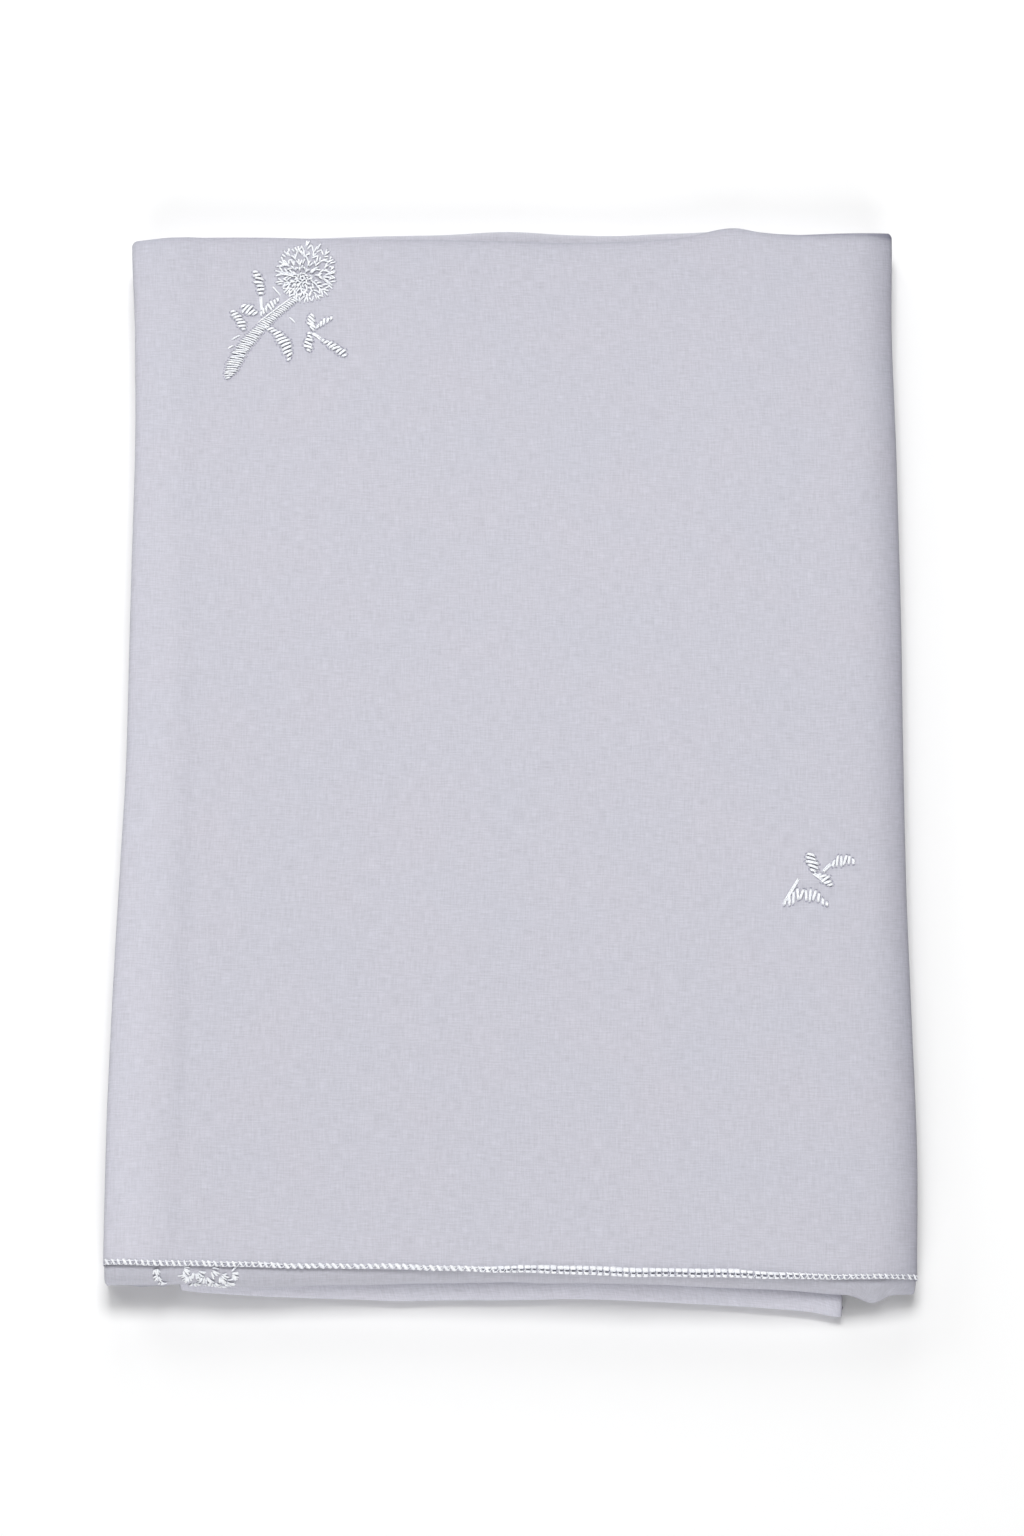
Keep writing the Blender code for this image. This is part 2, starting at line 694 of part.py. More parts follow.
def add_folded_layers(collection):
    """Add the hidden layers of both bundles as one rounded solid, layered at its sides."""
    rings = []
    for index, rib in enumerate(LOWER_RIBS):
        rings += ridge_rings(rib, True, 1.3 * index)
    rings += slot_rings(4.2)
    for index, rib in enumerate(UPPER_RIBS):
        rings += ridge_rings(rib, False, 5.1 + 1.7 * index)
    edge = rings[-1]
    for share in CORE_RINGS:
        inner = [(x * share, y * share) for x, y, _ in edge]
        rings.append([(x, y, core_height(x, y)) for x, y in inner])
    add_loft("folded_layers", rings, cloth_finish("folded_layers"), collection)


# ---- the embroidery -------------------------------------------------------------------------------

LEAF_COLUMNS = 6
LEAF_ROWS = 2
LEAF_TIP = 0.16  # share of its width that a leaf keeps at its ends
STEM_COLUMNS = 14
STEM_FOOT = 0.15  # share of the stem over which its foot narrows to half its width
PATCH_ROUNDING = 0.86


def stitched_height(x, y, across):
    """Return the height of a stitched shape on the top leaf; across runs from -1 to 1 over its width."""
    return leaf_height(x, y) + GAP + STITCH_THICK + STITCH_CROWN * (1.0 - across * across)


def leaf_point(leaf, column, row):
    """Return a point of one embroidered leaf, pointed at both ends and bent along its length."""
    share = column / LEAF_COLUMNS
    across = 2.0 * row / LEAF_ROWS - 1.0
    along_x, along_y = leaf.tip_x - leaf.base_x, leaf.tip_y - leaf.base_y
    length = math.hypot(along_x, along_y)
    half = 0.5 * leaf.width * blend(LEAF_TIP, 1.0, math.sin(math.pi * share) ** 0.8)
    offset = across * half + 4.0 * leaf.bend * share * (1.0 - share)
    x = leaf.base_x + along_x * share - along_y / length * offset
    y = leaf.base_y + along_y * share + along_x / length * offset
    return x, y, stitched_height(x, y, across)


def add_leaves(collection):
    """Add each leaf of the sprig, the twig and the branch."""
    for leaf in LEAVES:

        def point(column, row, leaf=leaf):
            return leaf_point(leaf, column, row)

        thread = thread_finish(leaf.name)
        add_sheet(leaf.name, LEAF_COLUMNS, LEAF_ROWS, point, STITCH_THICK, thread, collection)


def stem_centre(share):
    """Return x and y on the stem's centre line, a cubic curve from the flower to its foot."""
    weights = (
        (1.0 - share) ** 3,
        3.0 * share * (1.0 - share) ** 2,
        3.0 * share**2 * (1.0 - share),
        share**3,
    )
    x = sum(weight * place[0] for weight, place in zip(weights, STEM))
    y = sum(weight * place[1] for weight, place in zip(weights, STEM))
    width = sum(weight * size for weight, size in zip(weights, STEM_WIDTH))
    return x, y, width


def stem_point(column, row):
    """Return a point of the tapered stem."""
    share = column / STEM_COLUMNS
    x, y, width = stem_centre(share)
    next_x, next_y, _ = stem_centre(share + 0.01)
    length = math.hypot(next_x - x, next_y - y)
    across = 2.0 * row / LEAF_ROWS - 1.0
    half = 0.5 * width * (1.0 - 0.5 * max(0.0, share - 1.0 + STEM_FOOT) / STEM_FOOT)
    aside_x, aside_y = -(next_y - y) / length, (next_x - x) / length
    x += aside_x * across * half
    y += aside_y * across * half
    return x, y, stitched_height(x, y, across)


def flower_ring(share, rise, depth, turn):
    """Return one scalloped ring of the flower head."""
    ring = []
    for index in range(FLOWER_POINTS):
        angle = 2.0 * math.pi * index / FLOWER_POINTS
        scallop = 1.0 - depth * (0.5 + 0.5 * math.cos(FLOWER_PETALS * angle + turn))
        radius = FLOWER_RADIUS * share * scallop
        x = FLOWER_CENTRE[0] + radius * math.cos(angle)
        y = FLOWER_CENTRE[1] + 1.05 * radius * math.sin(angle)
        ring.append((x, y, leaf_height(x, y) + GAP + rise))
    return ring


def add_flower(collection):
    """Add the large sprig's flower head and its stem."""
    rings = [flower_ring(*row, math.pi * index) for index, row in enumerate(FLOWER_RINGS)]
    add_loft("flower_head", rings, thread_finish("flower_head"), collection)
    stem = thread_finish("flower_stem")
    add_sheet("flower_stem", STEM_COLUMNS, LEAF_ROWS, stem_point, STITCH_THICK, stem, collection)


def fold_patch_point(patch, column, row):
    """Return a point of a stitched patch that lies over the upper fold's near nose."""
    across = 2.0 * column / patch.columns - 1.0
    x = patch.middle + patch.half_width * across
    reach = math.sqrt(1.0 - PATCH_ROUNDING * across * across)
    centre = 0.5 * (patch.start + patch.end)
    around = centre + (0.5 - row / patch.rows) * (patch.end - patch.start) * reach
    y, z = upper_fold_section(x, around)
    next_y, next_z = upper_fold_section(x, around + 0.02)
    length = math.hypot(next_y - y, next_z - z)
    lift = GAP + STITCH_THICK
    return x, y + (next_z - z) / length * lift, z - (next_y - y) / length * lift


def add_fold_flower(collection):
    """Add the flower and the small leaf that lie over the near fold, under the hem."""
    for patch in FOLD_PATCHES:

        def point(column, row, patch=patch):
            return fold_patch_point(patch, column, row)

        thread = thread_finish(patch.name)
        add_sheet(patch.name, patch.columns, patch.rows, point, STITCH_THICK, thread, collection)


def stand_on_origin(collection):
    """Move every mesh so that the pack's box stands on the origin at the middle of its underside."""
    places = [vertex.co for piece in collection.objects for vertex in piece.data.vertices]
    middle_x = 0.5 * (min(place.x for place in places) + max(place.x for place in places))
    middle_y = 0.5 * (min(place.y for place in places) + max(place.y for place in places))
    shift = Vector((-middle_x, -middle_y, 0.0))
    for piece in collection.objects:
        for vertex in piece.data.vertices:
            vertex.co += shift


def main():
    """Clear the scene and build the folded chador."""
    for old in list(bpy.data.objects):
        bpy.data.objects.remove(old, do_unlink=True)
    collection = bpy.data.collections.new("folded_prayer_chador")
    bpy.context.scene.collection.children.link(collection)
    add_top_leaf(collection)
    add_hem(collection)
    add_upper_fold(collection)
    add_lower_fold(collection)
    add_folded_layers(collection)
    add_leaves(collection)
    add_flower(collection)
    add_fold_flower(collection)
    stand_on_origin(collection)


main()
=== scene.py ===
"""A prayer chador folded into a flat pack, dressed for a plain studio picture.

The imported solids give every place. Each cloth solid is replaced by a thin leaf of woven cotton on the same
form, the hidden layers by two long leaves folded to and fro, and each stitched solid by its own threads.
All sizes are in millimetres, on the drawing that the solids were made from; DRAWING_SHIFT takes that drawing
to the frame, and MM turns it into metres when a mesh is made.
"""

import logging
import math
from dataclasses import dataclass
from enum import Enum
from typing import Callable, Sequence

import bpy
import numpy as np
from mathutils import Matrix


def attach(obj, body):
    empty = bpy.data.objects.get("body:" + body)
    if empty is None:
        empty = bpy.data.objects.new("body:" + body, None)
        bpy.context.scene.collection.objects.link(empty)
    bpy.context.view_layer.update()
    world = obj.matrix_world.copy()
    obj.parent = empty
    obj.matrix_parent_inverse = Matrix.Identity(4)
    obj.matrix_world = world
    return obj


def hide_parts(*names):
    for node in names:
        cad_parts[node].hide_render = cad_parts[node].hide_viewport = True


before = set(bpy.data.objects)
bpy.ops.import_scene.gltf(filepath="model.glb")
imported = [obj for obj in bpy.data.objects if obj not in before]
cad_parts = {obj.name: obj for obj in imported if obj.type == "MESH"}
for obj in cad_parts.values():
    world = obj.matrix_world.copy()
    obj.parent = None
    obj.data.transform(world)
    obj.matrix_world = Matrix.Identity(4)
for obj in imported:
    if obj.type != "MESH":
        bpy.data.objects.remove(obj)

LOG = logging.getLogger("folded_chador")
Array = np.ndarray
Colour = tuple[float, float, float]
Place = tuple[float, float]
Stitches = tuple[Array, Array]  # the points of some threads, and the way that each point faces
Socket = bpy.types.NodeSocket
Input = Socket | float | Sequence[float]

MM = 0.001
TURN = 2.0 * math.pi
TINY = 1e-9
BODY = "root"
DRAWING_SHIFT = (0.096, 0.538, 0.0)
CLOTH_COORDINATES = "cloth_mm"
STRAND_COORDINATES = "strand_mm"
EDGE_DISTANCES = "edge_mm"

# Cloth and bundles, as the solids have them.
GAP = 0.3
LEAF_TOP = 19.7
LOWER_TOP = 9.6
UPPER_FOOT = LOWER_TOP + GAP
SECOND_DEPTH = 1.8
NEAR_DEPTH = 0.95
FAR_FALL = 1.0
FAR_FALL_LENGTH = 20.0
DROOP_DEPTH = 26.0
HEM_WIDTH = 3.0
CLOTH = 0.42  # how thick an outer leaf is modelled
HIDDEN_CLOTH = 0.27

# How the shapes are made.
SETTLING_ROUNDS = 3  # x and y on a leaf depend on each other, so they are found in rounds
SIDE_GUESSES = (-140.4, 139.3)  # where the rounds start from
SWELL_WAVES = 7
SWELL_SIZES = (0.65, 1.6)  # the shortest and the longest wave, as shares of the middle one
SWELL_TOTAL = 3.2  # brings the waves' sum to between about -1 and 1
CREASE_BACK = 1.8  # how much wider a crease's gentle flank is
CREASE_OVERRUN = 0.12  # how far a crease runs past its ends, as a share of its length
CREASE_FADES = (0.4, 0.6)  # how much of its length its start and its end take to fade
LIP_STEPS = 6
LIP_RUN_SHARES = (0.5, 1.0)
RETURN_SHARES = (0.1, 0.35, 1.0)
RETURN_START = 0.8
STRAND_SIDES = 6
STRAND_TAPER = 0.72
STRAND_TAPER_POWER = 10

# The threads of the embroidery.
STITCH_PITCH = 0.9
BUNDLE_GAP = 0.34
THREAD_WIDTH = 0.7
THREAD_HEIGHT = 0.46
STITCH_ROOT = 0.12  # how deep a stitch goes into the cloth at its ends
STITCH_ROUNDING = 0.45  # below 1, its arch is flatter at the middle


class Slot(Enum):
    """The record's material slots."""

    COTTON = "cotton"
    HEM = "hem_thread"
    EMBROIDERY = "embroidery"


class Side(Enum):
    """A long side of the pack, and the way it faces along x."""

    LEFT = -1
    RIGHT = 1


# ---- numbers and tables ---------------------------------------------------------------------------


def ease(share: Array) -> Array:
    """Return a share that leaves 0 and reaches 1 gently, and is held between them."""
    held = np.clip(share, 0.0, 1.0)
    return held * held * (3.0 - 2.0 * held)


def blend(low: Array, high: Array, share: Array) -> Array:
    """Return the value a share of the way from low to high."""
    return low + (high - low) * share


def swell(u: Array, v: Array, size: float, seed: int) -> Array:
    """Return a gentle unevenness, between about -1 and 1.

    Args:
        u: First coordinate on the cloth.
        v: Second coordinate on the cloth.
        size: Length of its middle wave.
        seed: Which unevenness of this size.

    Returns:
        One height for each place.
    """
    draw = np.random.default_rng(seed)
    total = np.zeros(np.broadcast(u, v).shape)
    for _ in range(SWELL_WAVES):
        heading, phase = draw.uniform(0.0, TURN, 2)
        turn = TURN / (size * draw.uniform(*SWELL_SIZES))
        total += np.sin((u * math.cos(heading) + v * math.sin(heading)) * turn + phase)
    return total / SWELL_TOTAL


@dataclass(frozen=True)
class Table:
    """Rows of numbers with named columns, read between the rows on smooth curves.

    Attributes:
        names: The columns' names, the place first.
        rows: The rows, their places rising.
    """

    names: tuple[str, ...]
    rows: tuple[tuple[float, ...], ...]

    def read(self, name: str, place: Array) -> Array:
        """Return one column's value at each place, with no overshoot between rows.

        Args:
            name: The column to read.
            place: Where to read it; past the ends, the end row holds.

        Returns:
            One value for each place.
        """
        data = np.array(self.rows, float)
        places, values = data[:, 0], data[:, self.names.index(name)]
        spans = np.diff(places)
        rises = np.diff(values) / spans
        same = rises[:-1] * rises[1:] > 0.0
        total = np.where(same, rises[:-1] + rises[1:], 1.0)
        slopes = np.zeros(len(values))
        slopes[1:-1] = np.where(same, 2.0 * rises[:-1] * rises[1:] / total, 0.0)
        held = np.clip(place, places[0], places[-1])
        row = np.clip(np.searchsorted(places, held, side="right") - 1, 0, len(spans) - 1)
        share = (held - places[row]) / spans[row]
        curve = (values[row + 1] - values[row]) * share * share * (3.0 - 2.0 * share)
        curve += slopes[row] * spans[row] * share * (1.0 - share) ** 2
        return values[row] + curve - slopes[row + 1] * spans[row] * share * share * (1.0 - share)


@dataclass(frozen=True)
class Crease:
    """A soft trough or ridge pressed into a leaf, one flank steeper than the other.

    Attributes:
        start: Where it starts on the cloth.
        end: Where it ends.
        rise: Its height, below zero for a trough.
        width: How wide its steep flank is.
        bow: How far its middle bends aside.
    """

    start: Place
    end: Place
    rise: float
    width: float
    bow: float = 0.0

    def height(self, u: Array, v: Array) -> Array:
        """Return how far the cloth is lifted at each place."""
        run_u, run_v = self.end[0] - self.start[0], self.end[1] - self.start[1]
        length = math.hypot(run_u, run_v)
        from_u, from_v = u - self.start[0], v - self.start[1]
        share = (from_u * run_u + from_v * run_v) / length**2
        aside = (from_v * run_u - from_u * run_v) / length - 4.0 * self.bow * share * (1.0 - share)
        flank = np.where(aside > 0.0, self.width, CREASE_BACK * self.width)
        fade_in, fade_out = CREASE_FADES
        fade = ease((share + CREASE_OVERRUN) / fade_in) * ease((1.0 + CREASE_OVERRUN - share) / fade_out)
        return self.rise * np.exp(-((aside / flank) ** 2)) * fade


def far_fall(ahead: Array) -> Array:
    """Return how far a leaf has fallen where it has some way ahead to its far nose."""
    return FAR_FALL * ease(1.0 - ahead / FAR_FALL_LENGTH)


def pressed(creases: Sequence[Crease], u: Array, v: Array) -> Array:
    """Return the height of all of a leaf's creases together at each place."""
    return sum((crease.height(u, v) for crease in creases), np.zeros(np.broadcast(u, v).shape))


# ---- the form of the pack -------------------------------------------------------------------------


@dataclass(frozen=True)
class Slope:
    """A broad rise or fall of the pack's top: how high, where it starts, and how far it takes to come in."""

    rise: float
    x: float
    width: float
    y: float
    length: float


@dataclass(frozen=True)
class PackForm:
    """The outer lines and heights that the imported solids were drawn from."""

    sides: Table = Table(
        ("y", "left", "right"),
        (
            (-200.0, -140.4, 139.3),
            (-147.0, -140.5, 140.3),
            (-98.0, -139.7, 139.6),
            (-48.0, -138.2, 139.0),
            (0.0, -136.9, 139.2),
            (55.0, -136.9, 139.7),
            (108.0, -136.7, 139.6),
            (160.0, -137.9, 139.1),
            (202.0, -139.9, 140.1),
        ),
    )
    near: Table = Table(
        ("x", "hem", "fold", "foot"),
        (
            (-141.0, -191.4, -196.2, UPPER_FOOT),
            (-110.0, -191.9, -195.9, UPPER_FOOT),
            (-88.0, -192.3, -197.0, UPPER_FOOT),
            (-59.0, -192.8, -196.0, UPPER_FOOT),
            (13.0, -194.2, -195.3, UPPER_FOOT),
            (44.0, -194.9, -196.0, UPPER_FOOT),
            (96.0, -196.0, -198.1, UPPER_FOOT),
            (117.0, -196.4, -199.6, UPPER_FOOT),
            (121.0, -196.4, -199.3, 4.6),
            (126.0, -196.2, -200.3, 0.9),
            (132.0, -195.9, -198.6, 2.2),
            (141.0, -195.4, -197.8, 2.7),
        ),
    )
    lower: Table = Table(
        ("x", "front"),
        (
            (-125.0, -194.5),
            (-105.0, -196.6),
            (-80.0, -197.9),
            (-33.0, -199.3),
            (20.0, -198.8),
            (72.0, -200.9),
            (104.0, -203.6),
            (114.0, -205.1),
        ),
    )
    under: Table = Table(
        ("y", "left", "right"),
        (
            (-206.0, -113.0, 113.6),
            (-178.0, -121.0, 114.2),
            (-160.0, -132.0, 119.0),
            (-130.0, -138.6, 130.0),
            (-60.0, -137.6, 136.9),
            (20.0, -136.2, 137.8),
            (110.0, -135.6, 138.2),
            (198.0, -137.6, 138.4),
        ),
    )
    far: Table = Table(
        ("x", "lip", "second", "under"),
        (
            (-141.0, 197.3, 198.2, 197.5),
            (-124.0, 198.7, 199.6, 198.5),
            (-95.0, 199.1, 200.2, 199.8),
            (-66.0, 198.5, 201.3, 200.6),
            (-33.0, 198.1, 202.0, 201.0),
            (-3.0, 197.6, 203.3, 202.0),
            (18.0, 196.9, 202.3, 202.6),
            (40.0, 197.3, 201.9, 202.0),
            (60.0, 198.6, 202.8, 201.4),
            (82.0, 203.1, 203.9, 202.6),
            (92.0, 201.3, 202.9, 202.4),
            (107.0, 199.8, 202.6, 201.6),
            (141.0, 199.9, 201.0, 199.2),
        ),
    )
    upper_nose: Table = Table(
        ("around", "back", "down"),
        (
            (0.00, 8.0, 0.00),
            (0.20, 3.8, 0.05),
            (0.40, 1.6, 0.22),
            (0.60, 0.4, 0.50),
            (0.80, 0.1, 0.78),
            (0.93, 1.5, 0.97),
            (1.00, 4.5, 1.00),
        ),
    )
    lower_nose: Table = Table(
        ("around", "back", "down"),
        (
            (0.00, 9.0, 0.00),
            (0.20, 5.0, 0.04),
            (0.40, 2.3, 0.19),
            (0.55, 0.6, 0.38),
            (0.70, -0.3, 0.58),
            (0.82, 0.4, 0.78),
            (0.92, 2.0, 0.93),
            (1.00, 5.2, 1.00),
        ),
    )
    far_nose: Table = Table(
        ("around", "back", "down"),
        (
            (0.00, 8.0, 0.00),
            (0.25, 3.6, 0.04),
            (0.50, 1.2, 0.22),
            (0.75, 0.1, 0.55),
            (1.00, 0.8, 1.00),
        ),
    )
    slopes: tuple[Slope, ...] = (
        Slope(0.8, -112.0, -9.0, -230.0, 10.0),
        Slope(-1.8, 104.0, 36.0, -158.0, -40.0),
        Slope(-0.8, 55.0, 60.0, 120.0, 70.0),
    )
    right_fall: float = 1.7
    right_width: float = 15.0
    right_curve: float = 1.9
    top_fall: float = 1.5
    top_width: float = 11.0
    left_fall: float = 0.5
    left_width: float = 9.0
    side_curve: float = 2.0
    roll_height: float = 0.25
    roll_x: float = 27.0
    roll_y: float = 41.0
    roll_phase: float = 0.6
    uneven_height: float = 0.09
    uneven_size: float = 46.0
    uneven_seed: int = 3
    shoulder: float = 8.0  # how far behind a nose's front its upper end lies
    creases: tuple[Crease, ...] = ()

    def base_height(self, x: Array, y: Array) -> Array:
        """Return the height of the pack's top without its creases."""
        roll = np.sin(x / self.roll_x + self.roll_phase) * np.cos(y / self.roll_y)
        height = LEAF_TOP + self.roll_height * roll
        for slope in self.slopes:
            height += slope.rise * ease((x - slope.x) / slope.width) * ease((y - slope.y) / slope.length)
        from_right = np.clip((self.sides.read("right", y) - x) / self.right_width, 0.0, 1.0)
        from_left = np.clip((x - self.sides.read("left", y)) / self.left_width, 0.0, 1.0)
        height -= self.right_fall * (1.0 - from_right) ** self.right_curve
        return height - self.left_fall * (1.0 - from_left) ** self.side_curve

    def leaf_height(self, x: Array, y: Array) -> Array:
        """Return the height of the top leaf's outer side, creases and all."""
        from_right = np.clip((self.sides.read("right", y) - x) / self.top_width, 0.0, 1.0)
        height = self.base_height(x, y) - self.top_fall * (1.0 - from_right) ** self.side_curve
        uneven = self.uneven_height * swell(x, y, self.uneven_size, self.uneven_seed)
        return height + pressed(self.creases, x, y) + uneven

    def side_x(self, y: Array, share: Array, inset: Array) -> Array:
        """Return x at a share of the pack's width, counted between its insets."""
        return blend(self.sides.read("left", y) + inset, self.sides.read("right", y) - inset, share)

    def upper_near(self, x: Array, around: Array) -> tuple[Array, Array]:
        """Return y and z of the upper fold's near nose, a share of the way round it."""
        front = self.near.read("fold", x)
        head = self.base_height(x, front + self.shoulder) - NEAR_DEPTH
        down = self.upper_nose.read("down", around)
        return front + self.upper_nose.read("back", around), blend(head, self.near.read("foot", x), down)

    def upper_far(self, x: Array, around: Array) -> tuple[Array, Array]:
        """Return y and z of the upper fold's far nose, a share of the way down it."""
        front = self.far.read("second", x)
        head = self.base_height(x, front - self.shoulder) - SECOND_DEPTH - FAR_FALL
        down = self.far_nose.read("down", around)
        return front - self.far_nose.read("back", around), blend(head, UPPER_FOOT + GAP, down)

    def lower_near(self, x: Array, around: Array) -> tuple[Array, Array]:
        """Return y and z of the lower fold's near nose, a share of the way down it."""
        y = self.lower.read("front", x) + self.lower_nose.read("back", around)
        return y, LOWER_TOP * (1.0 - self.lower_nose.read("down", around)) + np.zeros_like(y)

    def lower_far(self, x: Array, around: Array) -> tuple[Array, Array]:
        """Return y and z of the lower fold's far nose, a share of the way up it."""
        y = self.far.read("under", x) - self.far_nose.read("back", around)
        return y, LOWER_TOP * self.far_nose.read("down", around) + np.zeros_like(y)


TOP_CREASES = (
    Crease((-114.5, -192.0), (-113.0, 52.0), -0.34, 2.6, -1.6),
    Crease((-119.0, -150.0), (-117.0, 20.0), 0.16, 3.2, 1.2),
    Crease((-108.0, -120.0), (-104.5, 10.0), -0.12, 4.5, -2.0),
    Crease((-57.7, -153.8), (-26.4, -187.6), -0.22, 2.2, 1.6),
    Crease((-70.0, -146.0), (-40.0, -180.0), 0.12, 3.6, 1.0),
    Crease((101.4, 152.5), (130.2, 132.6), -0.26, 3.0, 1.2),
    Crease((94.0, 176.0), (133.0, 160.0), -0.18, 4.2, -2.0),
    Crease((112.0, 118.0), (136.0, 96.0), 0.16, 4.0, 1.0),
    Crease((-92.5, 180.5), (-79.5, 175.0), -0.16, 1.4, 0.3),
    Crease((-136.0, 188.0), (-96.0, 186.0), -0.22, 2.6, 1.2),
    Crease((-134.0, 193.0), (-60.0, 192.0), 0.14, 2.4, -0.8),
    Crease((-40.0, 190.0), (30.0, 186.0), -0.14, 3.6, 1.8),
    Crease((62.0, 192.0), (108.0, 186.0), 0.26, 4.0, 2.0),
    Crease((30.0, 92.0), (86.0, 58.0), -0.12, 5.5, 3.0),
    Crease((-84.0, 108.0), (-34.0, 126.0), -0.10, 6.0, -3.0),
    Crease((-20.0, -40.0), (38.0, -66.0), -0.10, 6.5, 3.0),
    Crease((52.0, -118.0), (112.0, -142.0), -0.13, 5.0, -2.5),
    Crease((-96.0, -70.0), (-52.0, -92.0), 0.09, 6.0, 2.0),
    Crease((104.0, -176.0), (136.0, -150.0), -0.28, 4.6, -1.5),
    Crease((84.0, -184.0), (120.0, -186.0), 0.18, 3.4, 1.0),
    Crease((120.0, 40.0), (126.0, -70.0), -0.14, 5.0, 1.5),
)
FORM = PackForm(creases=TOP_CREASES)


# ---- meshes ---------------------------------------------------------------------------------------


def new_mesh_object(
    name: str, points: Array, faces: Sequence[Sequence[int]], label: str, values: Array
) -> bpy.types.Object:
    """Make a smooth-shaded object, with one vector kept at each point for its material.

    Args:
        name: The piece's name.
        points: Its points on the drawing, one row each.
        faces: The points of each face.
        label: The name of the vector kept at each point.
        values: Those vectors, one row each.

    Returns:
        The new object, linked to the scene.
    """
    mesh = bpy.data.meshes.new(name)
    mesh.from_pydata(((points + DRAWING_SHIFT) * MM).tolist(), [], faces)
    mesh.shade_smooth()
    mesh.update()
    piece = bpy.data.objects.new(name, mesh)
    keep_at_points(piece, label, values)
    bpy.context.scene.collection.objects.link(piece)
    return piece


def keep_at_points(piece: bpy.types.Object, label: str, values: Array) -> None:
    """Keep a named vector at each point of a piece, for its material."""
    kept = piece.data.attributes.new(label, "FLOAT_VECTOR", "POINT")
    kept.data.foreach_set("vector", np.ascontiguousarray(values, dtype=np.float32).ravel())


def arc_lengths(grid: Array, axis: int) -> Array:
    """Return how far along the cloth each point of a grid lies, down its rows (0) or across them (1)."""
    steps = np.linalg.norm(np.diff(grid, axis=axis), axis=2)
    start = np.zeros_like(np.take(steps, [0], axis=axis))
    return np.concatenate([start, np.cumsum(steps, axis=axis)], axis=axis)


def grid_normals(grid: Array) -> Array:
    """Return the unit outward normal at each point of a grid."""
    across = np.gradient(grid, axis=1)
    along = np.gradient(grid, axis=0)
    normal = np.cross(across, along)
    return normal / np.maximum(np.linalg.norm(normal, axis=2, keepdims=True), TINY)


def sheet_object(name: str, grid: Array, thickness: float = CLOTH, offset: float = -1.0) -> bpy.types.Object:
    """Make a thin closed leaf from a grid, its columns running along +x where the grid is its top.

    Args:
        name: The piece's name.
        grid: Points of its outer side or its middle, as rows of columns.
        thickness: How thick the leaf is.
        offset: -1 where the grid is its outer side, 0 where it is its middle.

    Returns:
        The leaf, with the cloth's own coordinates kept at each point.
    """
    rows, columns, _ = grid.shape
    index = np.arange(rows * columns).reshape(rows, columns)
    corners = (index[:-1, :-1], index[:-1, 1:], index[1:, 1:], index[1:, :-1])
    faces = np.stack(corners, axis=-1).reshape(-1, 4).tolist()
    cloth = np.stack([arc_lengths(grid, 1), arc_lengths(grid, 0), np.zeros((rows, columns))], axis=-1)
    piece = new_mesh_object(name, grid.reshape(-1, 3), faces, CLOTH_COORDINATES, cloth.reshape(-1, 3))
    shell = piece.modifiers.new("cloth", "SOLIDIFY")
    shell.thickness = thickness * MM
    shell.offset = offset
    return piece


NOSE_ROUND = 1.5  # how far a nose's rounding reaches behind its front
NOSE_BEHIND = 0.5  # how much of the way behind that counts as height
FAR_LEFT = 200.0  # the left end of a fold has no strip of its own, so it is put far away


def nose_gaps(grid: Array, front: Array, foot: Array | float, right: Array) -> Array:
    """Return how far each point of a fold lies from its left end, its right end and its near lower edge, for
    the painted shade along them.

    Args:
        grid: The fold's points.
        front: y of its nose at each point.
        foot: z of its lower edge at each point.
        right: x of its right end at each point.

    Returns:
        Three distances for each point, one row each.
    """
    x, y, z = grid.reshape(-1, 3).T
    behind = NOSE_BEHIND * np.maximum(y - front - NOSE_ROUND, 0.0)
    return np.maximum(np.stack([x + FAR_LEFT, right - x, z - foot + behind], axis=-1), 0.0)


def with_lips(grid: Array, radius: float, turn: Array, straight: tuple[Array, Array]) -> Array:
    """Return a grid whose two side edges turn in towards its inner side, as on a folded edge.

    Args:
        grid: Points of the outer side; its edges are where the lips begin to turn.
        radius: Radius of the lips.
        turn: How far they turn, in radians, row by row.
        straight: How far each lip runs on inwards at its end, row by row, left and right.

    Returns:
        The wider grid.
    """
    inward = -grid_normals(grid)
    added = []
    for edge, facing, run in ((0, -1.0, straight[0]), (-1, 1.0, straight[1])):
        outward = np.array((facing, 0.0, 0.0))
        strips = []
        for step in range(1, LIP_STEPS + 1):
            angle = turn[:, None] * step / LIP_STEPS
            end = radius * (np.sin(angle) * outward + (1.0 - np.cos(angle)) * inward[:, edge])
            strips.append(grid[:, edge] + end)
        for share in LIP_RUN_SHARES:
            strips.append(grid[:, edge] + end + inward[:, edge] * (share * run)[:, None])
        added.append(strips)
    left = np.stack(added[0][::-1], axis=1)
    right = np.stack(added[1], axis=1)
    return np.concatenate([left, grid, right], axis=1)


